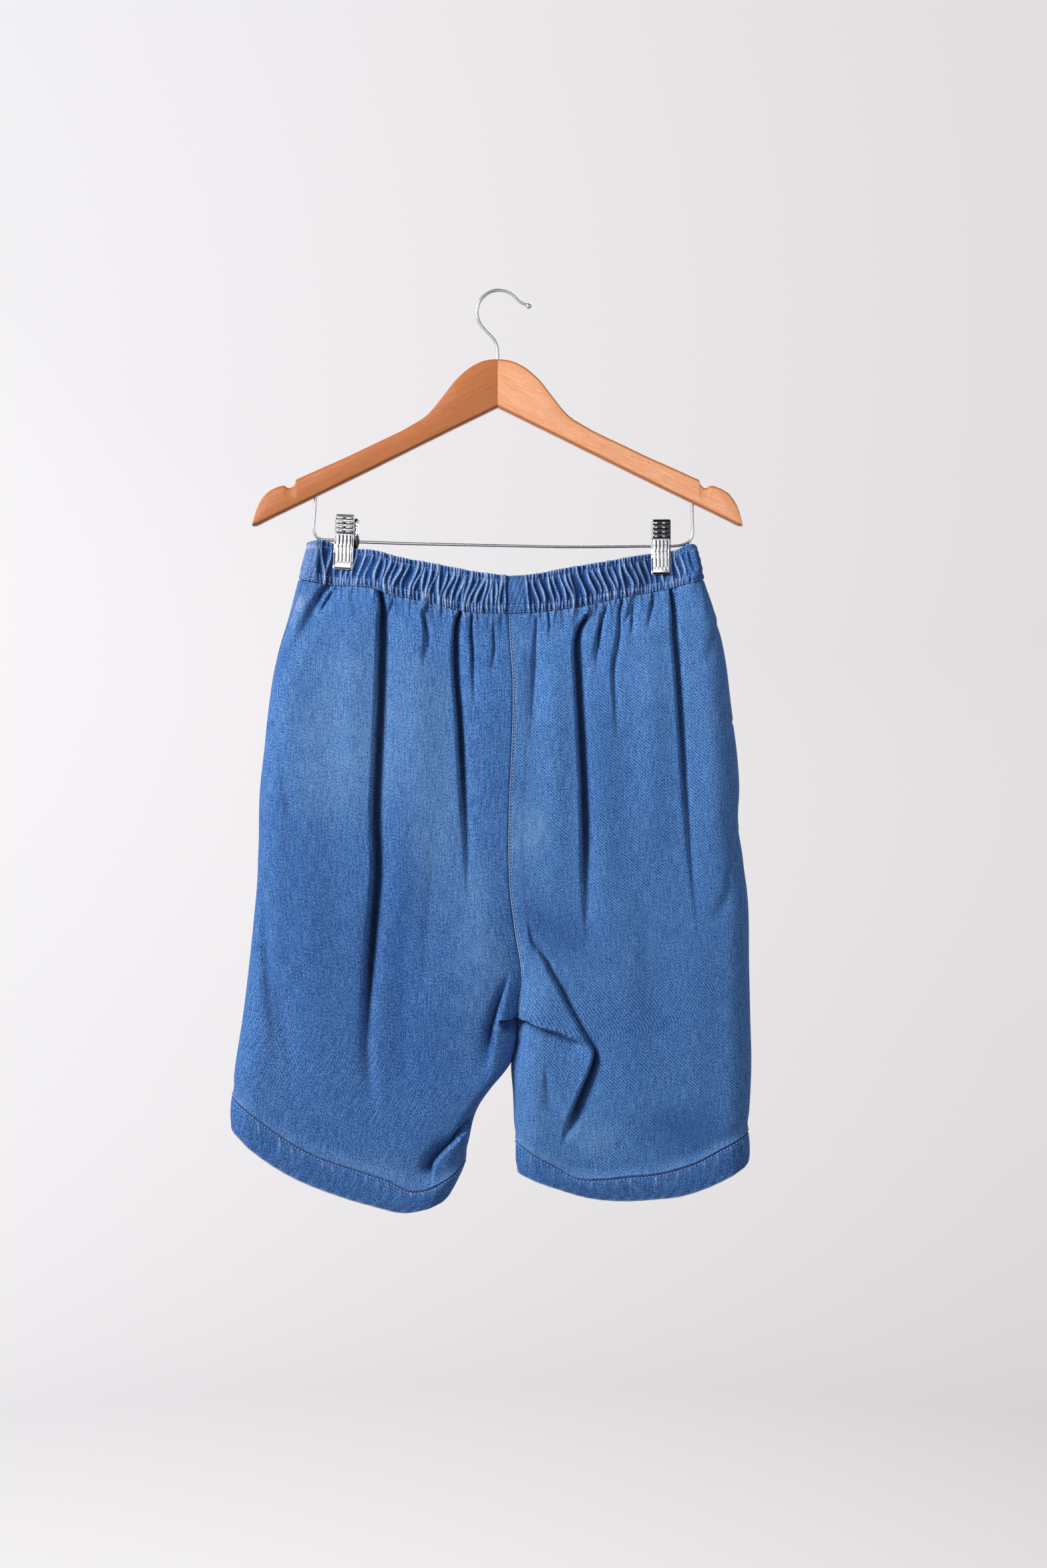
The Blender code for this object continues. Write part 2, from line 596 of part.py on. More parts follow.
bar_route = [leg_top("left"), (-167.6, CLOTH_Y, -211), (-168.0, CLOTH_Y, -222),
             (-166.0, CLOTH_Y, -228), (-160.5, CLOTH_Y, -230.8), (-149.0, CLOTH_Y, -231.6),
             (-125.0, CLOTH_Y, -233.2), (-60.0, CLOTH_Y, -235.2), (0.0, CLOTH_Y, -236.4),
             (64.0, CLOTH_Y, -237.6), (140.0, CLOTH_Y, -237.0), (165.0, CLOTH_Y, -236.4),
             (174.6, CLOTH_Y, -233.4), (178.4, CLOTH_Y, -226.5), (178.2, CLOTH_Y, -214),
             leg_top("right")]
wire("bar", bar_route, 44, BAR_WIRE, STEEL)


# ---------------------------------------------------------------- spring clips

CLIP_TILT = {"left": -2.5, "right": 0.0}        # degrees
CLIP_Z = {"left": -232.2, "right": -236.9}      # the bar's middle in each clip
PLATE_METAL = 0.9
PLATE_PROFILE = [Plate(23.5, 9.3), Plate(19.0, 9.2), Plate(10.0, 7.9), Plate(3.0, 5.9),
                 Plate(-3.0, 5.6), Plate(-8.0, 6.2), Plate(-12.0, 6.5), Plate(-23.0, 6.5),
                 Plate(-26.5, 6.9)]
PLATE_SECTION = ((-8.6, 2.2), (-8.8, 0.7), (-7.9, 0.0), (0.0, -0.3), (7.9, 0.0), (8.8, 0.7),
                 (8.6, 2.2))
PAD_SIZE = Vector((14.4, 1.4, 13.0))
PAD_OFFSET = 4.6          # from the cloth's middle plane to the pad's middle
PAD_HEIGHT = -17.5        # from the bar to the pad's middle
SLEEVE_LENGTH = 13.6
SLEEVE_RADII = (1.8, 2.5)
BAR_SLOPE = {"left": 3.8, "right": -1.2}        # degrees, where each clip sits
SPRING_RADIUS = 3.8
SPRING_WIRE = 0.6
SPRING_TURNS = 3
POINTS_A_TURN = 8

for side, clip_x in CLIP_X.items():
    pivot = Vector((clip_x, CLOTH_Y, CLIP_Z[side]))
    tilt = Matrix.Rotation(radians(CLIP_TILT[side]), 4, "Y")
    seat = Matrix.Translation(pivot * MM) @ tilt
    for layer, front in (("front", -1.0), ("rear", 1.0)):
        sheet = bmesh.new()
        bmesh.ops.create_grid(sheet, x_segments=len(PLATE_SECTION) - 1,
                              y_segments=len(PLATE_PROFILE) - 1, size=0.5)
        for vert in sheet.verts:
            across = PLATE_SECTION[round((vert.co.x + 0.5) * (len(PLATE_SECTION) - 1))]
            down = PLATE_PROFILE[round((0.5 - vert.co.y) * (len(PLATE_PROFILE) - 1))]
            vert.co = Vector((across[0], front * (down.offset - across[1]), down.height)) * MM
        if front > 0:
            bmesh.ops.reverse_faces(sheet, faces=sheet.faces)
        plate_mesh = bpy.data.meshes.new(f"clip_{side}_{layer}_plate")
        sheet.to_mesh(plate_mesh)
        sheet.free()
        plate = place(f"clip_{side}_{layer}_plate", plate_mesh, CHROME)
        plate.matrix_world = seat
        metal = plate.modifiers.new("metal", "SOLIDIFY")
        metal.thickness = PLATE_METAL * MM
        metal.offset = -1.0
        metal.use_even_offset = True

        block = bmesh.new()
        bmesh.ops.create_cube(block, size=1.0, matrix=Matrix.Diagonal((*(PAD_SIZE * MM), 1.0)))
        pad_mesh = bpy.data.meshes.new(f"clip_{side}_{layer}_pad")
        block.to_mesh(pad_mesh)
        block.free()
        pad = place(f"clip_{side}_{layer}_pad", pad_mesh, PLASTIC)
        pad.matrix_world = seat @ Matrix.Translation(
            Vector((0.0, front * PAD_OFFSET, PAD_HEIGHT)) * MM)

    inner, outer = SLEEVE_RADII
    reach = SLEEVE_LENGTH / 2
    turned = bmesh.new()
    corners = [turned.verts.new(Vector((radius, 0.0, height)) * MM) for radius, height in
               ((outer, reach), (outer, -reach), (inner, -reach), (inner, reach))]
    for index in range(4):
        turned.edges.new((corners[index], corners[(index + 1) % 4]))
    sleeve_mesh = bpy.data.meshes.new(f"clip_{side}_sleeve")
    turned.to_mesh(sleeve_mesh)
    turned.free()
    sleeve = place(f"clip_{side}_sleeve", sleeve_mesh, PLASTIC)
    bar_slope = Matrix.Rotation(radians(BAR_SLOPE[side]), 4, "Y")
    sleeve.matrix_world = (Matrix.Translation(pivot * MM) @ bar_slope
                           @ Matrix.Rotation(radians(90), 4, "Y"))
    screw = sleeve.modifiers.new("turned", "SCREW")
    screw.steps = screw.render_steps = 16
    screw.use_merge_vertices = True
    screw.merge_threshold = 0.00001

    coil = []
    for index in range(SPRING_TURNS * POINTS_A_TURN + 1):
        turn = index / POINTS_A_TURN
        angle = turn * 2 * pi
        along = mix(-4.5, 4.5, turn / SPRING_TURNS)
        coil.append(pivot + Vector((along, SPRING_RADIUS * cos(angle),
                                    SPRING_RADIUS * sin(angle))))
    wire(f"clip_{side}_spring", coil, len(coil), SPRING_WIRE, STEEL, 1)
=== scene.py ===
"""Pull-on denim shorts with a gathered elastic waist, hanging by two spring clips from a
wooden hanger. The garment's back is towards the viewer."""

import json
from collections import namedtuple
from math import cos, pi, radians, sin

import bpy
import numpy as np
from mathutils import Matrix, Vector

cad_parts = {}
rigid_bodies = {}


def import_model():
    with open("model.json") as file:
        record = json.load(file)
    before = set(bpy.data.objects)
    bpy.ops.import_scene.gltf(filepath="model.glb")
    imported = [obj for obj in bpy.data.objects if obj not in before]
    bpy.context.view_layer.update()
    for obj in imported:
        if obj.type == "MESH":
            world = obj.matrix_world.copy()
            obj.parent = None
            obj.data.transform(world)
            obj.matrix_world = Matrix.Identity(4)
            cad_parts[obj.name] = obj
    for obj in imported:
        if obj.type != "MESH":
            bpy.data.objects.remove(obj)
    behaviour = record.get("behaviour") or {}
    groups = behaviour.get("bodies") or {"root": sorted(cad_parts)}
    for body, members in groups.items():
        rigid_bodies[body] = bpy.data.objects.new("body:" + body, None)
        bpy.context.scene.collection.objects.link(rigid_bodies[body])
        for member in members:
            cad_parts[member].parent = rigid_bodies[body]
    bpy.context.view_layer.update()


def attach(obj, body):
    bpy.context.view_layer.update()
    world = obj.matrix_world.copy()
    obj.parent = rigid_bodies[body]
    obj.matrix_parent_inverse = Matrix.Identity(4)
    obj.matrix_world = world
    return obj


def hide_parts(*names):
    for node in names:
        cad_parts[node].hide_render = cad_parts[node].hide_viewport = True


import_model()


# ------------------------------------------------------------------ viewpoint and room
# The viewer stands square to the garment's back, in a pale room whose round floor sweeps up into
# its wall. A soft lamp stands on the left and a faint one on the right, and dark and bright cards
# give the metal and the varnish something to mirror.

VIEW_PLACE = (0.02375, -2.025, -0.4546)
VIEW_LENS = 50.33
# Painted shade: the room's glowing paint darkens to the right, away from the lamp, and towards the
# floor.
ROOM_PAINT_LIT, ROOM_PAINT_SHADED = (0.80, 0.785, 0.80), (0.66, 0.635, 0.645)
ROOM_SHADE_WIDTH = 2.6           # width over which the room's paint darkens to the right
ROOM_GLOW = 0.62
FLOOR_SHADE_TONE, FLOOR_SHADE_FADE, FLOOR_SHADE_HEIGHT = 0.84, 0.16, 1.3     # the floor is darker than the wall
FLOOR_LEVEL = -1.75
FLOOR_RADIUS = 2.7
SWEEP_RADIUS = 0.8
WALL_TOP = 2.2
ROOM_SIDES = 96
CARD_PAINT = (0.012, 0.012, 0.014, 1.0)
CARD_LIGHT = (1.0, 0.99, 0.97, 1.0)
AIR_COLOUR = (0.93, 0.95, 1.0, 1.0)
AIR_GLOW = 0.30
in_scene = bpy.context.scene.collection.objects


def fresh_paint(name):
    """A new material and its shader."""
    made = bpy.data.materials.new(name)
    made.use_nodes = True
    return made, made.node_tree.nodes["Principled BSDF"]


def stand(thing, place, aim):
    """Puts a thing in the room at a place, facing the point that it is aimed at."""
    thing.location = place
    thing.rotation_euler = (Vector(aim) - Vector(place)).to_track_quat("-Z", "Y").to_euler()
    in_scene.link(thing)


view = bpy.data.objects.new("viewpoint", bpy.data.cameras.new("viewpoint"))
view.data.sensor_width = 36.0
view.data.lens = VIEW_LENS
view.data.clip_end = 50.0
view.location = VIEW_PLACE
view.rotation_euler = (radians(90), 0.0, 0.0)
in_scene.link(view)
bpy.context.scene.camera = view
bpy.context.scene.view_settings.view_transform = "Standard"

profile = [(radius, FLOOR_LEVEL) for radius in (0.0, 0.9, 1.8, FLOOR_RADIUS)]
profile += [(FLOOR_RADIUS + SWEEP_RADIUS * sin(radians(angle)),
             FLOOR_LEVEL + SWEEP_RADIUS * (1.0 - cos(radians(angle))))
            for angle in range(9, 91, 9)]
profile.append((FLOOR_RADIUS + SWEEP_RADIUS, WALL_TOP))
corners = [(radius * cos(2 * pi * k / ROOM_SIDES), radius * sin(2 * pi * k / ROOM_SIDES), height)
           for radius, height in profile for k in range(ROOM_SIDES)]
quads = [(row * ROOM_SIDES + k, row * ROOM_SIDES + (k + 1) % ROOM_SIDES,
          (row + 1) * ROOM_SIDES + (k + 1) % ROOM_SIDES, (row + 1) * ROOM_SIDES + k)
         for row in range(len(profile) - 1) for k in range(ROOM_SIDES)]
room_mesh = bpy.data.meshes.new("room")
room_mesh.from_pydata(corners, [], quads)
room_mesh.shade_smooth()
room = bpy.data.objects.new("room", room_mesh)
in_scene.link(room)
room.visible_diffuse = room.visible_shadow = False
room_paint, paint = fresh_paint("room_paint")
paint.inputs["Roughness"].default_value = 0.9
paint.inputs["Specular IOR Level"].default_value = 0.0
paint.inputs["Emission Strength"].default_value = ROOM_GLOW
# Painted shade on the room: darker to the right and down towards the floor.
shade_shares = [min(max(x / ROOM_SHADE_WIDTH + 0.5, 0.0), 1.0) for x, y, z in corners]
floor_shades = [FLOOR_SHADE_TONE + FLOOR_SHADE_FADE * min((z - FLOOR_LEVEL) / FLOOR_SHADE_HEIGHT, 1.0)
          for x, y, z in corners]
tint = room_mesh.attributes.new("tint", "FLOAT_COLOR", "POINT")
tint.data.foreach_set("color", [value for share, deep in zip(shade_shares, floor_shades) for value in (
    *((a + (b - a) * share) * deep for a, b in zip(ROOM_PAINT_LIT, ROOM_PAINT_SHADED)), 1.0)])
tinted = room_paint.node_tree.nodes.new("ShaderNodeAttribute")
tinted.attribute_name = "tint"
for socket in ("Base Color", "Emission Color"):
    room_paint.node_tree.links.new(tinted.outputs["Color"], paint.inputs[socket])
room_mesh.materials.append(room_paint)

Card = namedtuple("Card", "name place aim size glow")
CARDS = [Card("dark_card_right", (0.35, -1.9, -0.3), (0.35, 0.0, -0.3), (0.54, 2.4), 0.0),
         Card("dark_card_far_right", (1.6, -1.0, -0.3), (0.0, 0.0, -0.3), (0.5, 2.4), 0.0),
         Card("dark_card_left", (-0.95, -1.9, -0.3), (0.0, 0.0, -0.3), (0.16, 2.4), 0.0),
         Card("dark_card_below", (0.0, -0.7, -1.6), (0.0, 0.0, -0.3), (2.0, 1.1), 0.0),
         Card("bright_card", (-0.29, -1.9, 0.14), (-0.29, 0.0, 0.14), (0.52, 0.8), 3.2)]
for row in CARDS:
    card_paint, paint = fresh_paint(f"{row.name}_paint")
    paint.inputs["Base Color"].default_value = CARD_PAINT
    paint.inputs["Emission Color"].default_value = CARD_LIGHT
    paint.inputs["Emission Strength"].default_value = row.glow
    half_wide, half_high = row.size[0] / 2, row.size[1] / 2
    card_mesh = bpy.data.meshes.new(row.name)
    card_mesh.from_pydata([(-half_wide, -half_high, 0), (half_wide, -half_high, 0),
                           (half_wide, half_high, 0), (-half_wide, half_high, 0)], [],
                          [(0, 1, 2, 3)])
    card_mesh.materials.append(card_paint)
    card = bpy.data.objects.new(row.name, card_mesh)
    card.visible_camera = card.visible_diffuse = card.visible_shadow = False
    stand(card, row.place, row.aim)

air = bpy.context.scene.world or bpy.data.worlds.new("air")
bpy.context.scene.world = air
air.use_nodes = True
air.node_tree.nodes["Background"].inputs["Color"].default_value = AIR_COLOUR
air.node_tree.nodes["Background"].inputs["Strength"].default_value = AIR_GLOW

Lamp = namedtuple("Lamp", "name place aim size power colour")
LAMPS = [
    Lamp("lamp_left", (-2.05, -1.35, 0.75), (0.0, 0.0, -0.45), 1.05, 104.0, (1.0, 0.975, 0.94)),
    Lamp("lamp_right", (1.9, -1.9, 0.1), (0.0, 0.0, -0.45), 1.3, 9.0, (0.93, 0.96, 1.0)),
    Lamp("lamp_behind", (0.6, 2.2, 1.4), (0.0, 0.0, -0.4), 1.3, 26.0, (1.0, 0.99, 0.97)),
]
for row in LAMPS:
    lamp_data = bpy.data.lights.new(row.name, "AREA")
    lamp_data.shape = "DISK"
    lamp_data.size = row.size
    lamp_data.energy = row.power
    lamp_data.color = row.colour
    lamp = bpy.data.objects.new(row.name, lamp_data)
    lamp.visible_camera = False
    stand(lamp, row.place, row.aim)


# ------------------------------------------------------------------ leg panels, back and front
# Four panels of mid-blue washed denim twill, two behind and two in front, felled together
# down the centre. They hang from the gathered waist in deep soft folds.

MM = 0.001
CLOTH_Y = -19.0           # middle plane of the hanging shorts
CLOTH = 1.1               # thickness of the denim
BAND_WALL = 2.6           # thickness of the waist casing
HALF_GAP = 0.03           # from the middle plane to the back's edge, and to the front's

Edge = namedtuple("Edge", "x z")
Depth = namedtuple("Depth", "v back front")
Band = namedtuple("Band", "x half_gap")
Crease = namedtuple("Crease", "route left right depth lip fade_in fade_out")
Swell = namedtuple("Swell", "x z half_x half_z height")
Gather = namedtuple("Gather", "x lean crest tail")


def table(kind, *rows):
    """Rows of plain numbers as rows of one kind, with named columns."""
    return [kind(*row) for row in rows]


WAIST_SEAM = {
    "left": table(Edge, (-181.5, -268.5), (-149, -274), (-119, -275.5), (-94.5, -283),
                  (-64, -289.5), (-27.5, -298.5), (10.5, -300)),
    "right": table(Edge, (189, -268.5), (149, -278.5), (112.5, -285.5), (76, -293.5),
                   (39.5, -298.5), (10.5, -300)),
}
SIDE = {
    "left": table(Edge, (-181.5, -268.5), (-189, -299.5), (-200, -336), (-207.5, -372.5),
                  (-213, -421.5), (-217.5, -464), (-218.5, -513), (-221.5, -567.5),
                  (-226.5, -616.5), (-232.5, -665), (-240, -713.5), (-242.5, -740)),
    "right": table(Edge, (189, -268.5), (199, -299.5), (207.5, -336), (213, -379), (219, -427.5),
                   (221, -458), (220, -488.5), (226, -531), (229.5, -567.5), (230, -616.5),
                   (231, -665), (232, -713.5), (229, -773)),
}
CENTRE_SEAM = table(Edge, (10.5, -300), (11.5, -324), (14, -360.5), (13.5, -409), (10.5, -482.5),
                    (11, -543), (16, -586), (22.5, -625.5), (19, -653), (18.5, -667))
INSEAM = {
    "left": table(Edge, (18.5, -667), (17.9, -689), (13.4, -706.8), (7, -717), (-4.9, -731),
                  (-17, -748.5), (-22.6, -763), (-29, -798)),
    "right": table(Edge, (18.5, -667), (16.6, -689.5), (12.6, -707.5), (12.4, -716), (14, -736),
                   (15.3, -768.5), (16.5, -780.5)),
}
HEM_STITCH = {
    "left": table(Edge, (-242.5, -740), (-222.5, -755), (-198, -773), (-173.5, -788), (-149, -798),
                  (-100.5, -814), (-79, -824), (-61, -822), (-42, -811), (-29, -798)),
    "right": table(Edge, (229, -773), (204.5, -785.5), (178.5, -799), (148, -808), (119, -811),
                   (94.5, -813.5), (71.5, -812.5), (52, -802), (33.5, -792.5), (16.5, -780.5)),
}
HEM_EDGE = {
    "left": table(Edge, (-243, -768.5), (-222.5, -787), (-198, -804), (-173.5, -816.5),
                  (-137, -830), (-112.5, -837), (-85.5, -843), (-64, -840), (-52, -835.5),
                  (-44.5, -831)),
    "right": table(Edge, (229.5, -799.5), (216, -808), (192, -819.5), (167.5, -827.5),
                   (143, -830.5), (112.5, -832), (82, -829), (52, -820.5), (19, -809.5)),
}
CROTCH_V = 0.74           # share of the panel's length, from waist to hem, where the legs part
ROUNDED = 0.12            # share of a panel's width that turns over at its side
HALF_DEPTH = table(Depth, (0, 11, 10), (0.07, 16, 14), (0.2, 22, 20), (0.4, 25, 23),
                   (0.74, 26, 24), (1, 23, 22), (2, 21.5, 21.5))
WAIST_ROUNDED = 0.045     # the same share at the waist
BAND_SPACE = table(Band, (-182, 5), (-165, 5.5), (-112, 6.5), (-60, 8.5), (10, 9.5), (70, 8.5),
                   (120, 6.5), (170, 5.5), (189, 5))
BAND_FLARE = 1.5          # how much wider the casing stands at its foot than at its top
SEAM_SUNK = 0.3           # how far the panel lies behind the casing at the waist seam
CLIP_X = {"left": -140.0, "right": 149.5}
PINCHED_GAP = 0.2         # half the space between the layers in a clip
PINCH_WIDTH = (9.5, 32.0)
PINCH_HEIGHT = (-260.0, -302.0)

# Folds seen from behind. A route runs from the top down, or from left to right. The cloth
# drops by depth along it, within the widths to its left and right, and stands up by lip along
# the side where the drop is steeper. The fades are shares of the route.
CREASES = {}
CREASES["back"] = table(
    Crease,
    (((-108.4, -275.3), (-106, -290.5), (-106, -311.8), (-107.2, -372.7), (-109, -415.3),
       (-111.4, -482.3), (-110.2, -531), (-112.7, -573.7), (-115.1, -616.3), (-117.5, -665),
       (-115, -718)), 2.2, 6.2, 12, 2.8, 0, 0.36),
    (((-112.5, -520), (-116.9, -622.4), (-118.1, -671.1), (-116.9, -707.7), (-111.4, -744.2),
       (-104.1, -768.6)), 5, 4.5, 4.6, 0, 0.4, 0.3),
    (((-33.5, -296.6), (-37.8, -306.9), (-39, -324), (-38.4, -354.4), (-35.9, -384.9),
       (-33.5, -427.5), (-31.1, -470.1), (-27.4, -518.9), (-25.4, -575.4)),
       1.8, 4, 10.4, 2.2, 0, 0.58),
    (((-23.8, -302.1), (-24.4, -316.1), (-23.1, -331.9), (-22.5, -347.7), (-20.7, -372.7),
       (-19.5, -392)), 1.3, 2.4, 4.6, 1.2, 0, 0.7),
    (((-65.2, -294.1), (-67, -303.3), (-64.6, -316.1), (-62.7, -330.1), (-62, -348)),
       2, 4, 3, 0.8, 0, 0.7),
    (((-95.6, -283.2), (-96.2, -291.7), (-101.1, -300.2), (-102.9, -306.3)),
       1.5, 2.5, 2.2, 0.6, 0.1, 0.5),
    (((-157.7, -275.3), (-163.2, -284.4), (-168.1, -293.5), (-174.2, -308.2), (-182.1, -324),
       (-188.8, -338.6), (-195.5, -350.8)), 4.6, 7, 8, 1.2, 0, 0.55),
    (((-151, -278.9), (-155.3, -286.2), (-159.6, -294.3), (-163, -304)), 1.3, 3, 3, 0.8, 0, 0.6),
    (((-85.9, -549.3), (-86.5, -628.5), (-85.9, -713.7), (-81, -768.6)), 12, 10, 2.6, 0, 0.3, 0.3),
    (((-219, -520), (-214, -560), (-210, -610), (-206, -650), (-200.1, -689.4), (-194.1, -738.1)),
       5, 5, 3.6, 0.5, 0.25, 0.4),
    (((79.8, -303.3), (73.1, -314.2), (70.6, -327), (71.9, -355.7), (74.3, -403.2), (76.7, -451.3),
       (78, -494.5), (78.6, -537.1), (81, -578.5), (83, -612)), 1.9, 5.4, 10.8, 2.6, 0, 0.42),
    (((33.5, -324), (34.1, -366.6), (33.5, -409.2)), 9, 9, 2.4, 0, 0.3, 0.4),
    (((97.4, -296), (92, -316.1), (88.9, -331.9), (86.5, -347.1)), 1.5, 3.2, 3.6, 0.9, 0, 0.6),
    (((112.7, -287.4), (110.8, -297.2), (110.2, -316.1), (108.4, -328.9), (105.4, -344.7),
       (105.4, -363.6), (106.6, -379.4), (108.4, -406.8), (104.7, -419.6), (103.5, -433.6)),
       1.6, 3, 4.2, 1.2, 0, 0.7),
    (((157.1, -275.3), (158.9, -291.7), (159.6, -316.1), (161.4, -339.8), (164.4, -387.3),
       (166.9, -427.5), (169.3, -464.1), (174.8, -525), (182.7, -591.9), (187, -628.5)),
       1.6, 4.4, 8.4, 2.2, 0, 0.78),
    (((121.8, -286.2), (120, -296.6), (116.3, -305.7), (114, -316)), 1.3, 2.6, 2.6, 0.6, 0, 0.6),
    (((140.7, -281.4), (140.1, -292.3), (139, -304)), 1.4, 2.6, 2.4, 0.6, 0, 0.6),
    (((45.7, -299), (46.9, -310.6), (47.5, -322)), 1.4, 2.6, 2.2, 0.5, 0, 0.6),
    (((188.8, -272.8), (191.8, -290.5), (194.3, -311.8)), 3, 4, 2.2, 0.4, 0.1, 0.4),
    (((216.2, -395.8), (210.1, -403.2), (205.8, -414.1)), 3, 6, 2.4, 0, 0.1, 0.4),
    (((219, -493.3), (214.2, -525), (210.9, -549.3)), 4, 7, 2.4, 0, 0.1, 0.4),
    (((28.6, -571.2), (29.2, -584.6), (30.4, -593.8), (34.1, -601.7), (39, -606.6), (43.8, -613.9),
       (48.1, -624.2), (54.2, -634.6), (59.1, -643.7), (64.6, -654.7), (71.9, -667.5),
       (77.3, -677.8), (83.5, -687.5), (87.5, -694.5), (88.3, -700), (86.3, -709), (82, -720.6),
       (76.6, -733), (70.5, -748), (64.2, -764.3), (60.7, -777.1), (60.4, -788.8)),
       1.5, 3.4, 6.2, 3.2, 0.25, 0.2),
    (((84, -689), (87.8, -696), (87.3, -706), (83, -719), (77.6, -732), (71.5, -747), (66, -761),
       (62.5, -774)), 2.1, 5, 5.2, 1.8, 0.2, 0.3),
    (((19.5, -667.6), (25, -670.3), (31.1, -672.9), (38, -676.3), (46.9, -679), (56.6, -682.3),
       (66.5, -686.9), (75.5, -691.3), (82.5, -694.5)), 5.5, 1.5, 7, 2.2, 0, 0.25),
    (((12.5, -621.6), (9.5, -631), (5.2, -644), (0.6, -660.2), (-4, -677.2), (-7.2, -695.2),
       (-8.6, -711.3), (-8.4, -726)), 6, 2.2, 9.5, 0, 0.38, 0.5),
    (((1.5, -669.3), (6, -669.9), (11, -669.6), (17.9, -669.2)), 2.6, 1.3, 6.5, 1.2, 0.15, 0),
    (((-1.6, -668), (3.6, -675.5), (10.4, -680.5), (16.7, -686.5)), 2.2, 1.8, -2.4, 0, 0.2, 0.1),
    (((-23.1, -762.5), (-29.8, -769.2), (-37.8, -777.7), (-46.3, -784.4), (-54.2, -792.3),
       (-59.1, -800.2), (-60.7, -815.6)), 6.5, 1.4, 10.5, 2, 0, 0.2),
    (((18.9, -771), (28.6, -788), (43.8, -799.6), (71.3, -806.3), (94.4, -806.3)),
       7, 7, 2, 0, 0.3, 0.4),
    (((-206.9, -370.4), (-199.1, -415), (-191.2, -465.3), (-186.8, -498.8)),
       2.5, 5, 2.4, 0.8, 0.2, 0.4),
    (((-215.8, -543.5), (-212.5, -599.3), (-207.4, -649.6), (-201.9, -680.3)),
       2.8, 5.5, 5.8, 1.2, 0.25, 0.5),
    (((-203.5, -599.3), (-195.2, -666.3), (-184, -722.2), (-173.4, -752.9)),
       5, 8, 2.8, 0.4, 0.4, 0.5),
    (((-68.4, -297.8), (-65, -325.7), (-68.4, -360.3)), 2, 4, 2.4, 0.8, 0, 0.6),
    (((-4.2, -310.1), (-3.1, -334.1), (-7, -362)), 1.6, 3, 2.6, 0.6, 0, 0.6),
    (((34.9, -306.2), (33.8, -342.5), (32.1, -398.3), (34.4, -437.4)), 2, 4, 2.6, 0.6, 0, 0.7),
    (((93.6, -302.2), (91.3, -328.5), (89.1, -360.3)), 1.6, 3, 3.2, 0.8, 0, 0.6),
    (((122.6, -293.3), (121.5, -325.7)), 1.5, 3, 2.6, 0.6, 0, 0.6),
    (((139.3, -289.4), (136, -320.1)), 1.5, 3, 2.6, 0.6, 0, 0.6),
    (((-55, -480), (-57.2, -526.7), (-61.7, -582.6), (-65.6, -638.4), (-68, -690)),
       7, 11, 1.8, 0, 0.4, 0.45),
    (((205.2, -297.8), (195.2, -325.7), (188.5, -353.6)), 3, 6, 2.4, 0.6, 0.1, 0.4),
    (((226.5, -515.6), (216.4, -543.5), (200.8, -571.4), (188.5, -587)), 5, 9, 2.4, 0.3, 0.3, 0.4),
    (((54.5, -604.9), (61.2, -638.4), (68.4, -671.9)), 8, 10, 1.5, 0, 0.4, 0.45),
    (((130, -500), (132.6, -549.1), (135.4, -604.9), (139.3, -660.8), (141, -720)),
       11, 16, 2, 0, 0.4, 0.45),
    (((43.3, -705.4), (46.1, -733.4), (50, -761.3)), 4, 6, 2, 0.4, 0.3, 0.4))
CREASES["front"] = table(
    Crease,
    (((-150, -276), (-151, -330), (-153, -400), (-156, -480), (-160, -570)),
       6, 2.2, 8, 2, 0, 0.55),
    (((-92, -280), (-88, -350), (-87, -430), (-91, -560), (-96, -700)), 2.2, 6, 8.6, 2.2, 0, 0.6),
    (((-30, -300), (-29, -330), (-28, -370), (-24, -445)), 4, 2, 6, 1.4, 0, 0.6),
    (((62, -296), (64, -350), (67, -420), (73, -540), (79, -650)), 2, 5.5, 8.6, 2.2, 0, 0.55),
    (((128, -284), (131, -340), (135, -420), (141, -520), (147, -610)), 6, 2, 8, 2, 0, 0.6),
    (((38, -566), (50, -600), (59, -650), (64, -725)), 2.4, 7, 6.5, 1.6, 0.2, 0.3),
    (((0, -590), (-10, -620), (-20, -655), (-30, -705)), 6, 2.4, 6.5, 1.6, 0.2, 0.3),
    (((214, -520), (206, -560), (195, -604)), 6, 4, 3, 0, 0.2, 0.4),
    (((-120, -279), (-121, -300), (-119, -322)), 1.8, 3.5, 3.4, 0.7, 0.1, 0.5),
    (((-58, -292), (-59, -315), (-57, -345)), 3.5, 1.8, 3.8, 0.8, 0.1, 0.5),
    (((95, -292), (96, -318), (99, -352)), 1.8, 3.5, 3.6, 0.8, 0.1, 0.5),
    (((165, -278), (168, -300), (170, -330)), 3.5, 1.8, 3.4, 0.7, 0.1, 0.5),
    (((14, -672), (40, -690), (66, -720)), 6, 2, 4.6, 1, 0.2, 0.4))
# Broad rounds of the cloth between its folds.
SWELLS = {
    "back": table(Swell, (-130, -400, 16, 140, 3), (-72, -390, 18, 130, 3.4),
                  (-10, -420, 14, 120, 1), (52, -430, 13, 120, 3), (140, -400, 14, 120, 3),
                  (196, -440, 13, 120, 2.4), (-88, -560, 10, 90, 1.8), (98, -520, 14, 110, 2.2),
                  (-170, -560, 18, 110, 2.2), (120, -640, 18, 90, 2), (180, -650, 18, 110, 2),
                  (-150, -650, 40, 90, 2), (-60, -640, 22, 90, 1.5), (150, -680, 45, 100, 2.2),
                  (44, -652, 20, 24, 2.3), (46, -722, 22, 30, 2.7), (9.5, -675, 5, 5, -2.5),
                  (-12, -600, 16, 40, 1.6)),
    "front": table(Swell, (-120, -420, 22, 120, 2), (-56, -430, 22, 120, 1.8),
                   (20, -440, 26, 130, 1.6), (98, -430, 24, 120, 2.2), (170, -450, 22, 120, 1.8),
                   (-150, -650, 40, 90, 2), (140, -680, 45, 100, 2)),
}
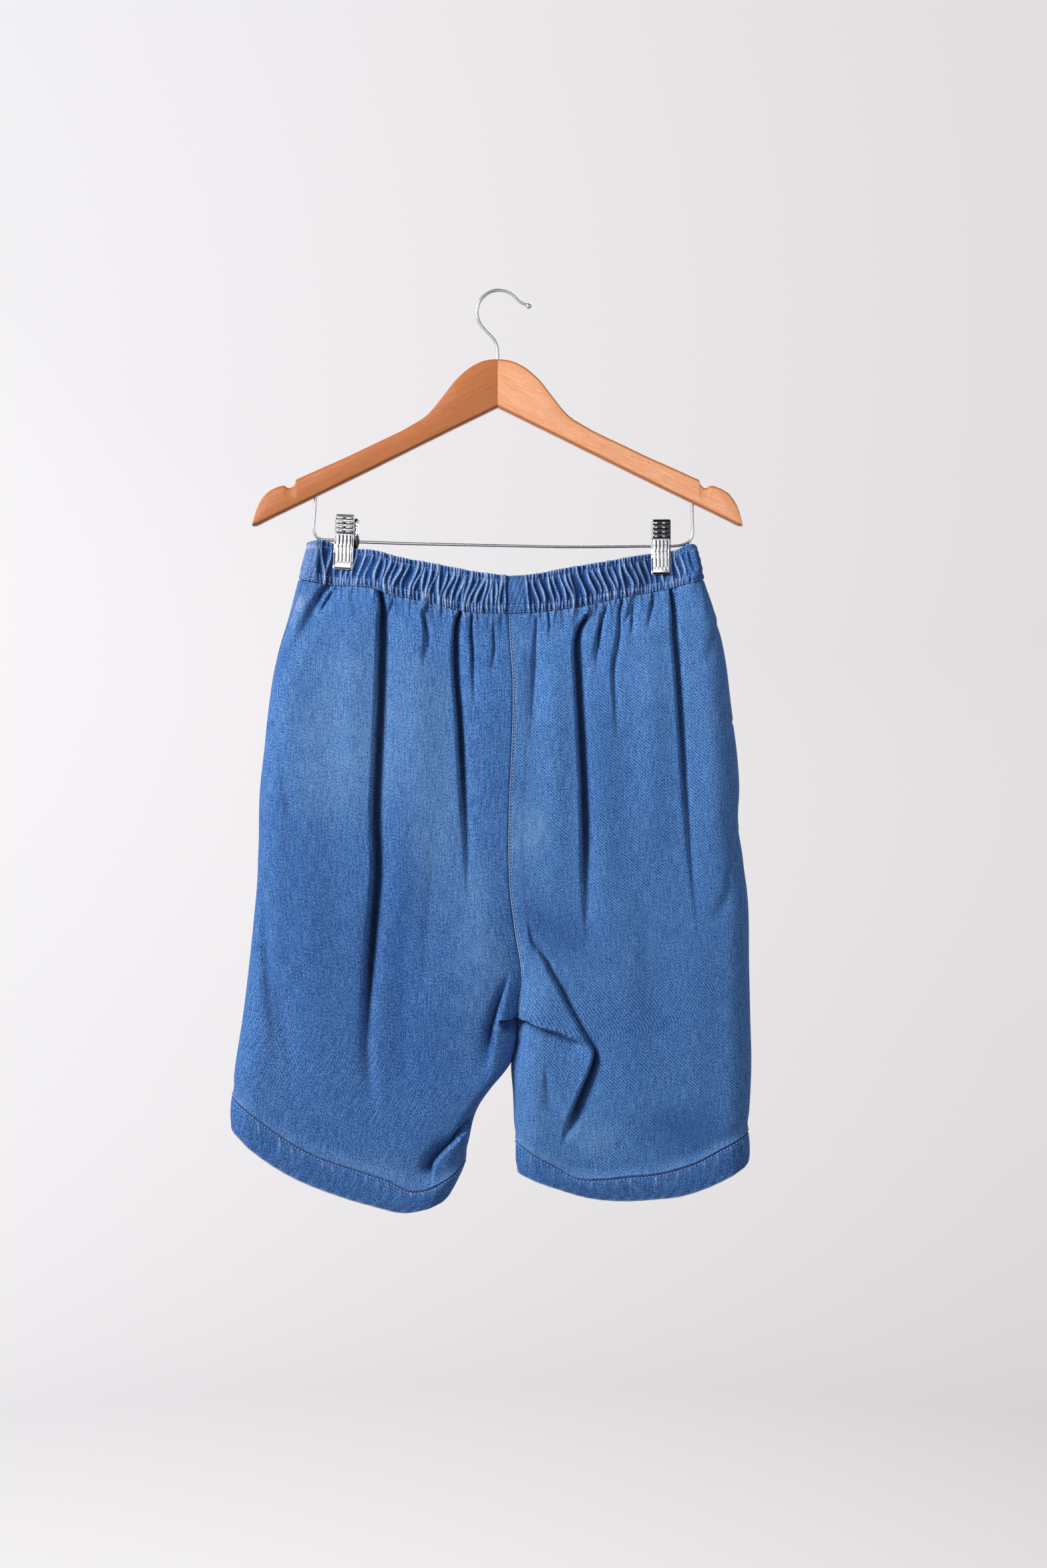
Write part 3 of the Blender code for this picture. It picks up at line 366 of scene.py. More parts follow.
# The ridges of the gathered casing, where they cross its middle, how far each leans, how high
# it stands against the others, and how far its pucker runs down into the panel.
GATHERS = {
    "left": table(Gather, (-165, 0, 0.6, 3), (-159.6, -2, 1, 6), (-154.1, 6, 0.9, 5),
                  (-147.4, 3, 0.8, 7), (-141.9, 3, 0.8, 4), (-136.4, 3, 0.8, 8), (-130.9, 5, 1, 6),
                  (-123.6, 9, 1.05, 5), (-116.9, 7, 0.8, 9), (-109, 6, 0.95, 14),
                  (-103.5, 5, 0.7, 6), (-99.9, 6, 1, 4), (-95, 8, 0.8, 5), (-90.1, 9, 1.1, 9),
                  (-84, 7, 0.85, 6), (-75.5, 9, 1, 7), (-71.9, 8, 0.8, 5), (-67, 3, 0.9, 11),
                  (-62.1, 6, 1.1, 5), (-57.9, 7, 0.75, 8), (-53, 2, 1, 6), (-48.1, 7, 0.85, 4),
                  (-43.2, 8, 1, 9), (-38.4, 8, 1.1, 16), (-32.9, 7, 0.8, 7), (-29.8, 3, 0.7, 5),
                  (-26.2, 8, 1, 12), (-21.3, 8, 0.9, 6), (-15.8, 9, 1.1, 8), (-11, 6, 1, 4),
                  (-7.3, 3, 0.8, 9), (-4.3, 2, 0.9, 6), (-0.6, 1, 0.8, 5), (3, 2, 0.9, 7),
                  (7.3, 1, 0.75, 5)),
    "right": table(Gather, (27.4, -3, 0.8, 6), (34.7, -5, 1, 4), (40.8, -6, 0.95, 8),
                   (48.7, -6, 1.1, 5), (53.6, -5, 0.8, 9), (59.7, -7, 1, 6), (65.2, -8, 1.15, 14),
                   (68.2, -4, 0.7, 5), (76.7, -9, 1.1, 7), (85.3, -7, 1, 5), (90.7, -8, 0.9, 8),
                   (96.2, -9, 1.05, 12), (102.9, -7, 1, 5), (107.2, -6, 0.8, 9),
                   (113.3, -5, 1.1, 16), (119.4, -7, 1, 6), (124.8, -8, 0.95, 11),
                   (130.9, -7, 1, 5), (137, -5, 0.9, 9), (143.1, -4, 0.7, 6), (149.2, -4, 0.8, 4),
                   (154.7, -3, 0.7, 8), (158.9, -3, 1, 5), (164.4, -5, 1.1, 7),
                   (169.9, -6, 0.8, 10), (175.4, -5, 1, 5), (180.3, -2, 0.8, 6)),
}
# Where the dye has worn paler and greener, and where the cloth is darker: partly dye that stayed
# deep, partly painted shade in and beside the folds and down the right side.
WORN = table(Swell, (-135, -400, 62, 80, 1.1), (-125, -320, 50, 40, 0.15),
             (-60, -400, 26, 70, 0.75), (-140, -450, 50, 50, 0.4), (-55, -500, 26, 60, 0.9),
             (-20, -560, 22, 50, 0.8), (28, -498, 18, 28, 1.15), (30, -400, 14, 90, 0.35),
             (34, -745, 16, 40, 0.5), (48, -640, 20, 24, 0.6), (150, -360, 40, 60, 0.35),
             (205, -420, 16, 120, 0.3), (-20, -650, 30, 40, 0.45), (130, -600, 50, 80, 0.25),
             (-95, -795, 45, 16, 0.45), (-170, -274, 9, 14, 0.6), (-177, -291, 8, 14, 0.6),
             (-185, -308, 7, 14, 0.5), (84, -775, 28, 20, 0.9), (-200, -700, 20, 60, 0.4),
             (-12, -612, 26, 26, 0.5))
DEEP_DYE_AND_SHADE = table(Swell, (-190, -520, 45, 90, 0.3), (-88, -590, 20, 150, 0.5),
             (95, -440, 22, 110, 0.35), (180, -600, 50, 150, 0.25), (-160, -620, 50, 70, 0.3),
             (30, -570, 20, 24, 0.5), (60, -590, 34, 24, 0.5), (-150, -300, 34, 22, 0.2),
             (17, -455, 8, 6, 0.3), (110, -680, 60, 60, 0.3), (-60, -700, 30, 60, 0.35),
             (165, -768, 46, 24, 0.65), (8, -458, 22, 14, 0.3), (130, -480, 60, 130, 0.22),
             (120, -640, 70, 60, 0.15), (-195, -341, 9, 16, 0.55))
# Seen from behind only: the shade in the fold at the crotch. On both faces: the rubbed strip
# where the left pocket's edge turns over the side.
CROTCH_SHADE = table(Swell, (10, -674, 5, 4.5, 1.4), (-6, -684, 4.5, 16, 0.9))
POCKET_RUBBED = table(Swell, (-173, -278, 6, 9, 0.2), (-180, -290, 8, 12, 0.55),
                      (-187, -308, 7, 12, 0.42))


def ease(share):
    """0 below 0, 1 above 1, and a smooth step between."""
    share = np.clip(share, 0.0, 1.0)
    return share * share * (3.0 - 2.0 * share)


def mix(first, second, share):
    return first + (second - first) * share


def bell(away, width):
    """1 in the middle of a soft stripe, and falling off to nothing over its width."""
    return np.exp(-(away / width) ** 2)


def run_along(points, axis=0):
    """Distance from the first point on, along one axis of a row or a grid of points."""
    steps = np.linalg.norm(np.diff(points, axis=axis), axis=-1)
    return np.concatenate([np.zeros_like(steps.take([0], axis)), np.cumsum(steps, axis)], axis)


def smooth_curve(points):
    """A smooth curve through points, as a function of shares of its length."""
    points = np.array(points, float)
    run = run_along(points)
    last = len(points) - 1
    low, high = np.maximum(np.arange(last + 1) - 1, 0), np.minimum(np.arange(last + 1) + 1, last)
    slopes = (points[high] - points[low]) / (run[high] - run[low])[:, None]

    def at(share):
        distance = np.clip(share, 0.0, 1.0) * run[-1]
        index = np.clip(np.searchsorted(run, distance, side="right") - 1, 0, last - 1)
        step = run[index + 1] - run[index]
        t, step = ((distance - run[index]) / step)[..., None], step[..., None]
        start, end = points[index], points[index + 1]
        return (start * (1 + 2 * t) * (1 - t) ** 2 + slopes[index] * step * t * (1 - t) ** 2
                + end * t * t * (3 - 2 * t) + slopes[index + 1] * step * t * t * (t - 1))

    at.length = run[-1]
    return at


def column(rows, name, position):
    """The named column of a table at positions along its first column, with eased steps."""
    keys = np.array([row[0] for row in rows], float)
    values = np.array([getattr(row, name) for row in rows], float)
    index = np.clip(np.searchsorted(keys, position) - 1, 0, len(keys) - 2)
    share = (position - keys[index]) / (keys[index + 1] - keys[index])
    return mix(values[index], values[index + 1], ease(share))


def pinch(x, z):
    """How far the clips press the layers together: 1 in a clip's jaws, 0 away from them."""
    nearest = np.minimum(abs(x - CLIP_X["left"]), abs(x - CLIP_X["right"]))
    across = 1.0 - ease((nearest - PINCH_WIDTH[0]) / (PINCH_WIDTH[1] - PINCH_WIDTH[0]))
    return across * (1.0 - ease((z - PINCH_HEIGHT[0]) / (PINCH_HEIGHT[1] - PINCH_HEIGHT[0])))


def blobs(rows, x, z):
    """The sum of soft oval patches at places on the cloth."""
    return sum(row.height * np.exp(-((x - row.x) / row.half_x) ** 2
                                   - ((z - row.z) / row.half_z) ** 2) for row in rows)


CREASE_STEP = 2.0         # between the places where a fold's route is taken
FELT_WIDTHS, FELT_MORE = 5.0, 30.0     # how far off a fold is felt: in its widths, and mm more
NARROW_TOP = 42.0         # length over which a fold opens out below its upper end
NARROW_SHARE, OPEN_SHARE = 0.42, 1.5   # its width at its top and far down, against its own
LIP_WIDTH = 11.0          # over which the cloth climbs towards the edge of a fold


def crease_height(row, x, z):
    """How far one crease lowers or lifts the cloth at each place."""
    at = smooth_curve(row.route)
    count = max(int(at.length / CREASE_STEP), 6)
    line = at(np.linspace(0.0, 1.0, count))
    course = np.gradient(line, axis=0)
    course /= np.linalg.norm(course, axis=1)[:, None]
    reach = FELT_WIDTHS * max(row.left, row.right) + FELT_MORE
    near = ((x > line[:, 0].min() - reach) & (x < line[:, 0].max() + reach)
            & (z > line[:, 1].min() - reach) & (z < line[:, 1].max() + reach))
    height = np.zeros(x.shape)
    if not near.any():
        return height
    spots = np.stack([x[near], z[near]], -1)
    gaps = ((spots[:, None, :] - line[None]) ** 2).sum(-1)
    index = gaps.argmin(1)
    to_spot = spots - line[index]
    side = course[index, 0] * to_spot[:, 1] - course[index, 1] * to_spot[:, 0]
    onward = (to_spot * course[index]).sum(-1)
    beyond = np.where((index == 0) & (onward < 0) | (index == count - 1) & (onward > 0), onward, 0)
    away = np.sign(side) * np.hypot(side, beyond)
    share = (index + np.clip(onward / (at.length / (count - 1)), -0.5, 0.5)) / (count - 1)
    fade = np.ones(len(share))
    if row.fade_in:
        fade *= ease(share / row.fade_in)
    if row.fade_out:
        fade *= ease((1.0 - share) / row.fade_out)
    opened = (mix(NARROW_SHARE, 1.0, ease(share * at.length / NARROW_TOP))
              * mix(1.0, OPEN_SHARE, ease(share - 0.3)))
    sharp, soft = min(row.left, row.right) * opened, max(row.left, row.right) * opened
    onto_steep = away * (-1.0 if row.left <= row.right else 1.0)
    apart = abs(away)
    steep_side = (row.lip * np.exp(-apart / LIP_WIDTH) * (1.0 - bell(apart, 1.3 * sharp))
                  - row.depth * bell(apart, sharp))
    soft_side = -row.depth * (0.6 * bell(apart, soft) + 0.4 * np.exp(-apart / (2.3 * soft)))
    height[near] = np.where(onto_steep > 0, steep_side, soft_side) * fade
    return height


TAIL_WIDTH = (2.6, 1.1)   # of a pucker, on its gentle and on its steep side
TAIL_HEIGHT = 2.2
TAIL_LINE = 0.95          # width of the pale line rubbed along its crest
TAIL_HOOK = (1.6, -1.2)   # how far a pucker bends aside on its way down
DRAWN_IN = 0.4            # how deep the stitches draw the cloth in at the waist seam
FRONT_PITCH, FRONT_SHIFT = 0.97, 1.5   # where the front's gathers stand, against the back's


def puckers(rows, seam, x, z):
    """Short ripples that the gathers leave in the panel just below the waist seam, and the
    pale lines along their crests."""
    below = np.maximum(np.interp(x, seam[:, 0], seam[:, 1]) - z, 0.0)
    height, lines = np.zeros(x.shape), np.zeros(x.shape)
    for index, row in enumerate(rows):
        hook = (TAIL_HOOK[0] if index % 3 else TAIL_HOOK[1]) * (1.0 - np.exp(-below / 5.0))
        away = x - (row.x - 0.5 * row.lean) - hook
        fade = np.exp(-(below / (row.tail * 1.4 + 3.5)) ** 1.4)
        wide = np.where(away < 0, *TAIL_WIDTH) * (1.0 + below / 16.0)
        height += row.crest * fade * bell(away, wide)
        short = bell(below, row.tail * 0.75 + 2.5)
        lines += row.crest * short * bell(away + 0.2, TAIL_LINE)
    return TAIL_HEIGHT * height - DRAWN_IN * bell(below, 7.0), lines


def relief(side, layer, point):
    """Height of all folds together over the plain form of the cloth, of the ripples alone,
    and the pale lines along the ripples."""
    x, z = point[..., 0], point[..., 2]
    height = blobs(SWELLS[layer], x, z)
    for row in CREASES[layer]:
        height = height + crease_height(row, x, z)
    rows = GATHERS[side] if layer == "back" else [
        row._replace(x=row.x * FRONT_PITCH + FRONT_SHIFT, tail=row.tail * 0.9 + 1)
        for row in GATHERS[side]]
    ripples, lines = puckers(rows, np.array(sorted(WAIST_SEAM[side]), float), x, z)
    ripples = ripples * (1.0 - 0.5 * pinch(x, z))
    return height + ripples, ripples, lines


def shared_height(side, point):
    """Height of the folds at the side, where back and front move together."""
    return 0.5 * (relief(side, "back", point)[0] + relief(side, "front", point)[0])


INNER_CALM = 3.5          # width along the inseam where the folds die out
SEAM_LAP = 1.4            # how far the right back panel's felled edge lies over the left
SHARED_U = (0.065, 0.15)  # about the side, back and front move together


class Half:
    """One half of the shorts, left or right. Round the half, u runs from -1 at the front's
    inner edge through 0 at the side to 1 at the back's inner edge. Down the panel v runs
    from 0 at the waist seam to 1 at the hem's stitches, and to 2 at the hem's edge."""

    def __init__(self, side):
        self.name = side
        self.outward = -1.0 if side == "left" else 1.0
        self.centre = smooth_curve(CENTRE_SEAM)
        self.waist, self.side, self.inseam, self.stitch, self.edge = (
            smooth_curve(rows[side]) for rows in (WAIST_SEAM, SIDE, INSEAM, HEM_STITCH, HEM_EDGE))

    def inner(self, v):
        """The inner edge: the centre seam down to the crotch, then the inseam."""
        upper = self.centre(v / CROTCH_V)
        lower = self.inseam((v - CROTCH_V) / (1.0 - CROTCH_V))
        return np.where((v <= CROTCH_V)[..., None], upper, lower)

    def outline(self, s, v):
        """Place in the garment's plane at a share s of the width and v of the length."""
        s_col, v_col = s[..., None], v[..., None]
        corners = mix(mix(self.waist(0.0), self.waist(1.0), s_col),
                      mix(self.stitch(0.0), self.stitch(1.0), s_col), v_col)
        panel = (mix(self.waist(s), self.stitch(s), v_col)
                 + mix(self.side(v), self.inner(v), s_col) - corners)
        hem = mix(self.stitch(s), self.edge(s), v_col - 1.0)
        return np.where(v_col > 1.0, hem, panel)

    def skin(self, u, v):
        """Points of the cloth's outer face before its folds, in mm."""
        u, v = np.broadcast_arrays(np.asarray(u, float), np.asarray(v, float))
        across = abs(u)
        rounded = mix(WAIST_ROUNDED, ROUNDED, ease(v / 0.14))
        turn_side = np.clip(across / rounded, 0, 1) * pi / 2
        turn_inner = np.clip((1.0 - across) / ROUNDED, 0, 1) * pi / 2
        share = np.where(across < rounded, rounded * (1 - np.cos(turn_side)), across)
        share = np.where(across > 1 - ROUNDED, 1 - ROUNDED * (1 - np.cos(turn_inner)), share)
        rise, fall = np.sin(turn_side), np.sin(turn_inner)
        place_xz = self.outline(share, v)
        open_share = np.sqrt(np.maximum(1.0 - (v / CROTCH_V) ** 6, 0.0))
        closing = open_share + (1.0 - open_share) * fall ** (1.0 + open_share)
        depth = np.where(u >= 0, column(HALF_DEPTH, "back", v), column(HALF_DEPTH, "front", v))
        seam_depth = (column(BAND_SPACE, "half_gap", place_xz[..., 0]) + BAND_FLARE + BAND_WALL
                      - SEAM_SUNK)
        depth = mix(seam_depth, depth, ease(v / 0.09))
        pressed = pinch(place_xz[..., 0], place_xz[..., 1])
        depth = mix(depth, PINCHED_GAP + BAND_WALL, pressed) * rise * closing
        return np.stack([place_xz[..., 0], CLOTH_Y + np.where(u >= 0, -1.0, 1.0) * depth,
                         place_xz[..., 1]], -1)

    def outward_normal(self, u, v):
        """Unit vectors square to the plain cloth, pointing out of the garment."""
        du, dv = 0.004, 0.006
        across = self.skin(np.minimum(u + du, 1.0), v) - self.skin(np.maximum(u - du, -1.0), v)
        down = self.skin(u, np.minimum(v + dv, 2.0)) - self.skin(u, np.maximum(v - dv, 0.0))
        normal = np.cross(across, down) * self.outward
        normal[..., 2] *= ease(v / 0.08) * ease((0.97 - v) / 0.12)
        return normal / np.linalg.norm(normal, axis=-1)[..., None]

    def cloth(self, layer, u, v, proud=0.0):
        """Points of the cloth's outer face with its folds, in mm, and their relief."""
        u, v = np.broadcast_arrays(np.asarray(u, float), np.asarray(v, float))
        point = self.skin(u, v)
        height = relief(self.name, layer, point)[0]
        other = relief(self.name, "front" if layer == "back" else "back", point)[0]
        shared = 1.0 - ease((abs(u) - SHARED_U[0]) / (SHARED_U[1] - SHARED_U[0]))
        height = mix(height, 0.5 * (height + other), shared)
        from_inner = self.outward * (point[..., 0] - self.inner(np.minimum(v, 1.0))[..., 0])
        calm = ease(from_inner / INNER_CALM)
        height = np.where(v > CROTCH_V - 0.012, height * calm, height) + proud
        point = point + self.outward_normal(u, v) * height[..., None]
        return self.keep_apart(layer, point, u, v), height

    def keep_apart(self, layer, point, u, v):
        """Keeps back and front, and left and right, on their own sides."""
        point = point.copy()
        if layer == "back":
            point[..., 1] = np.minimum(point[..., 1], CLOTH_Y - HALF_GAP)
        else:
            point[..., 1] = np.where(u <= 0, np.maximum(point[..., 1], CLOTH_Y + HALF_GAP),
                                     point[..., 1])
        lap = SEAM_LAP * ease((CROTCH_V - v) / 0.01) if self.name == "right" else 0.0
        limit = self.outward * self.inner(np.minimum(v, 1.0))[..., 0] + 0.05 - lap
        point[..., 0] = self.outward * np.maximum(self.outward * point[..., 0], limit)
        return point


def unit(vectors):
    return vectors / np.maximum(np.linalg.norm(vectors, axis=-1), 1e-9)[..., None]


def faced(points, toward):
    """Unit normals of a grid of points, on the side that the vectors toward point to."""
    normal = unit(np.cross(np.gradient(points, axis=1), np.gradient(points, axis=0)))
    return normal * np.where((normal * toward).sum(-1) < 0, -1.0, 1.0)[..., None]


def add_piece(name, points, faces, finish, stands_for=(), notes=None, sharp=48.0):
    """Makes one piece of points in mm, with any notes on its points for its material."""
    mesh = bpy.data.meshes.new(name)
    mesh.from_pydata((np.asarray(points, float).reshape(-1, 3) * MM).tolist(), [], faces)
    mesh.validate()
    mesh.shade_smooth()
    mesh.set_sharp_from_angle(angle=radians(sharp))
    for note, values in (notes or {}).items():
        layer = mesh.attributes.new(note, "FLOAT_VECTOR", "POINT")
        layer.data.foreach_set("vector", np.asarray(values, np.float32).reshape(-1))
    mesh.materials.append(finish)
    piece = bpy.data.objects.new(name, mesh)
    in_scene.link(piece)
    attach(piece, "root")
    if stands_for:
        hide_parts(*stands_for)
    return piece


def stacked(*values):
    """Numbers and grids of numbers, spread to one size, as the parts of vectors."""
    return np.stack(np.broadcast_arrays(*values), -1)


def rings_about(centre, first, second, radius, sides):
    """A ring of points about each centre, in the plane of two unit vectors."""
    turn = np.arange(sides)[:, None] * 2 * pi / sides
    return centre[..., None, :] + radius[..., None, None] * (
        np.cos(turn) * first[..., None, :] + np.sin(turn) * second[..., None, :])


def ring_faces(rings, outer=None):
    """Quads round and between closed rings of points, and across both ends, facing out. The
    first points of a ring, outer in number, lie across from the rest."""
    rows, count = rings.shape[:2]
    outer = outer or (count + 1) // 2
    here, following = np.arange(count), (np.arange(count) + 1) % count
    base = np.arange(rows - 1)[:, None] * count
    sides = np.stack([base + here, base + following, base + count + following,
                      base + count + here], -1).reshape(-1, 4)
    flat = rings.reshape(-1, 3)
    a, b, c, d = (flat[sides[:, index]] for index in range(4))
    outward = (a * np.cross(b, c)).sum() + (a * np.cross(c, d)).sum() > 0
    near, far, cap = 0, count - 1, []
    while near < outer - 1 or far > outer:
        if (near + 1) * (count - outer - 1) <= (count - far) * (outer - 1) and near < outer - 1:
            cap.append((near, near + 1, far))
            near += 1
        else:
            cap.append((near, far - 1, far))
            far -= 1
    last = (rows - 1) * count
    faces = sides.tolist() + [face[::-1] for face in cap] + [
        tuple(index + last for index in face) for face in cap]
    return faces if outward else [face[::-1] for face in faces]


class Value:
    """A socket of the material in hand. Sums and products of values add Math nodes."""
    tree = None

    def __init__(self, socket):
        self.socket = socket

    @classmethod
    def node(cls, kind, settings, inputs, out=0):
        made = cls.tree.nodes.new("ShaderNode" + kind)
        for name, setting in settings.items():
            setattr(made, name, setting)
        for name, value in inputs.items():
            if isinstance(value, Value):
                cls.tree.links.new(value.socket, made.inputs[name])
            else:
                made.inputs[name].default_value = value
        return cls(made.outputs[out])

    def maths(self, operation, first, second=0.0):
        return self.node("Math", {"operation": operation}, {0: first, 1: second})

    def __add__(self, other):
        return self.maths("ADD", self, other)

    def __sub__(self, other):
        return self.maths("SUBTRACT", self, other)

    def __rsub__(self, other):
        return self.maths("SUBTRACT", other, self)

    def __mul__(self, other):
        return self.maths("MULTIPLY", self, other)

    def __pow__(self, other):
        return self.maths("POWER", self, other)

    __radd__, __rmul__ = __add__, __mul__

    def sine(self):
        return self.maths("SINE", self)

    def between(self, low, high):
        """0 below low, 1 above high, and a smooth step between."""
        return self.node("MapRange", {"interpolation_type": "SMOOTHSTEP"},
                         {"Value": self, "From Min": low, "From Max": high})


def new_finish(name):
    """Starts a material, with its values added from here on."""
    made = fresh_paint(name)[0]
    Value.tree = made.node_tree
    return made


def finish_off(made, constants, links):
    """Sets the shader's plain numbers and joins what varies over the surface."""
    shader = made.node_tree.nodes["Principled BSDF"]
    for name, value in constants.items():
        shader.inputs[name].default_value = value
    for name, value in links.items():
        made.node_tree.links.new(value.socket, shader.inputs[name])
    return made


def note_of(name):
    """The three numbers that a piece's mesh carries under a name."""
    vector = Value.node("Attribute", {"attribute_name": name}, {}, 1)
    return [Value.node("SeparateXYZ", {}, {0: vector}, k) for k in range(3)]


def at_scale(x, y, z=0.0):
    return Value.node("CombineXYZ", {}, {0: x, 1: y, 2: z})


def noise(vector, scale=1.0, detail=2.0, roughness=0.5):
    return Value.node("TexNoise", {}, {"Vector": vector, "Scale": scale, "Detail": detail,
                                       "Roughness": roughness})


def colours(share, first, second):
    """Mixes two colours, each a value or red, green and blue."""
    first, second = (c if isinstance(c, Value) else (*c, 1.0) for c in (first, second))
    return Value.node("Mix", {"data_type": "RGBA"}, {0: share, 6: first, 7: second}, 2)


def bumps(height, strength, distance):
    return Value.node("Bump", {}, {"Height": height, "Strength": strength, "Distance": distance})


DYE = (0.028, 0.140, 0.425)
DYE_DEEP_AND_SHADE = (0.003, 0.034, 0.190)
DYE_PALE = (0.170, 0.390, 0.750)
DYE_WORN = (0.180, 0.350, 0.620)
DYE_BLEACHED = (0.500, 0.575, 0.740)
HOLLOW_SHADE = (0.004, 0.022, 0.080)
DYE_INSIDE = (0.330, 0.430, 0.600)
TWILL_PITCH = 2.0
Grain = namedtuple("Grain", "across along detail rough")
DENIM_GRAIN = table(Grain, (0.95, 0.62, 3.0, 0.8), (0.95, 0.06, 2.0, 0.65), (0.10, 1.1, 2.0, 0.6),
                    (0.035, 0.022, 3.0, 0.55), (0.12, 0.12, 1.0, 0.5))


def make_denim():
    """Washed denim. weave holds mm across and along the cloth and how clear the twill is;
    look holds the rubbed ridge (1) or the hollow painted in shade (-1), the wear, and the depth of
    dye with painted shade added (-1 inside)."""
    made = new_finish("washed_denim")
    across, along, clarity = note_of("weave")
    ridge, worn, dye_and_shade = note_of("look")
    slub, streak, weft, cloudy, drift = (
        noise(at_scale(across * row.across, along * row.along), 1.0, row.detail, row.rough)
        for row in DENIM_GRAIN)
    line = ((across - along) * (2 * pi / TWILL_PITCH / 1.414) + drift * 5.0).sine() * 0.5 + 0.5
    line = line ** 1.6
    fleck = slub.between(0.40, 0.64)
    pale = (fleck * 0.66 + streak.between(0.32, 0.7) * 0.34 + weft.between(0.35, 0.68) * 0.16
            + line * clarity * 0.44 - 0.27)
    cloud = cloudy.between(0.34, 0.66)
    body = colours(pale, DYE_DEEP_AND_SHADE, DYE_PALE)
    body = colours(0.20 - cloud * 0.10, body, DYE)
    wear = (worn * (0.75 + cloud * 0.3)).between(0.0, 1.2) * 0.6
    body = colours(wear * (0.25 + pale * 1.1), body, DYE_WORN)
    # Deep dye, together with painted shade, where the note says.
    body = colours(dye_and_shade.between(0.0, 1.3) * (1.0 - pale * 0.35), body, DYE_DEEP_AND_SHADE)
    rubbed = ridge.between(0.25, 1.0) * (0.45 + 0.55 * fleck)
    body = colours(rubbed * 0.9, body, DYE_BLEACHED)
    # Painted shade in the hollows of the folds, where the look's ridge falls below 0.
    body = colours((ridge * -1.0).between(0.12, 1.0) * 0.75, body, HOLLOW_SHADE)
    inside = (dye_and_shade * -1.0).between(0.2, 0.9)
    body = colours(inside * (0.55 + 0.4 * fleck), body, DYE_INSIDE)
    height = line * clarity * 0.5 + slub * 0.8 + weft * 0.3
    return finish_off(made, {"Roughness": 0.9, "Sheen Weight": 0.05, "Sheen Roughness": 0.45,
                             "Specular IOR Level": 0.15},
                      {"Base Color": body, "Normal": bumps(height, 0.55, 0.00035)})


DENIM = make_denim()


def sew(name, rings, faces, solid, weave, look):
    """A piece of the denim, in place of a plain solid."""
    return add_piece(name, rings, faces, DENIM, [solid], {"weave": weave, "look": look})


FACING = {"back": 1.0, "front": -1.0}      # which way u runs from the side
SIDE_TURN = 0.06          # how far, in u, the left front turns over the side onto the back
TURN_ENDS_V = 0.3
PANEL_MESH = {"back": (230, 235), "front": (130, 170)}     # columns and rows
CLOSER = {"back": (0.42, 0.5), "front": (0.2, 0.3)}        # how much they crowd at the crotch
FELL_WIDTH = 14.0         # of the felled allowance beside the centre seam
FELL_RISE = 0.4
Line = namedtuple("Line", "at width height")
SEAM_LINES = {"left": table(Line, (0.0, 1.2, -0.9)),       # beside the centre seam
              "right": table(Line, (0.4, 0.9, 0.35), (2.4, 0.8, -0.4))}
HEM_LINES = table(Line, (2.6, 1.7, 0.75), (0.0, 1.0, -0.9), (9.0, 6.0, -0.8))    # above the hem
PANEL_HEIGHT = 480.0      # about, from the waist seam to the hem's stitches
TWILL_CLARITY = {"left": 0.45, "right": 1.0}               # the right half's twill shows more
WEAR_MIRROR, WEAR_RAISED = 12.0, 6.0       # the front is worn like the back, mirrored, higher up
FRONT_WEAR = 0.8                           # and less
halves = {side: Half(side) for side in ("left", "right")}
quarters = [(half, layer) for half in halves.values() for layer in FACING]


def side_seam(side, v):
    """The side seam's place u: on the left the front's pocket edge turns over to the back."""
    return SIDE_TURN * (1.0 - ease(v / TURN_ENDS_V)) if side == "left" else 0.0 * v


def panel_detail(half, u, v):
    """What the sewing does to a panel's surface: the felled centre seam and the hem's pull."""
    point = half.skin(u, v)
    from_centre = half.outward * (point[..., 0] - half.inner(v)[..., 0])
    above_crotch = 1.0 - ease((v - CROTCH_V + 0.01) / 0.01)
    height = np.zeros(u.shape)
    if half.name == "right":
        height += FELL_RISE * (1.0 - ease((from_centre - FELL_WIDTH + 3.0) / 3.0)) * above_crotch
    for row in SEAM_LINES[half.name]:
        height += row.height * bell(from_centre - row.at, row.width) * above_crotch
    for row in HEM_LINES:
        height += row.height * bell((1.0 - v) * PANEL_HEIGHT - row.at, row.width)
    return height, from_centre


def weave_of(points, half, layer, clarity):
    """Distances across and along the cloth, which its threads follow."""
    across = run_along(points, 1)
    across = (across - across[:, -1:]) * -half.outward * FACING[layer]
    return stacked(across, run_along(points), clarity)


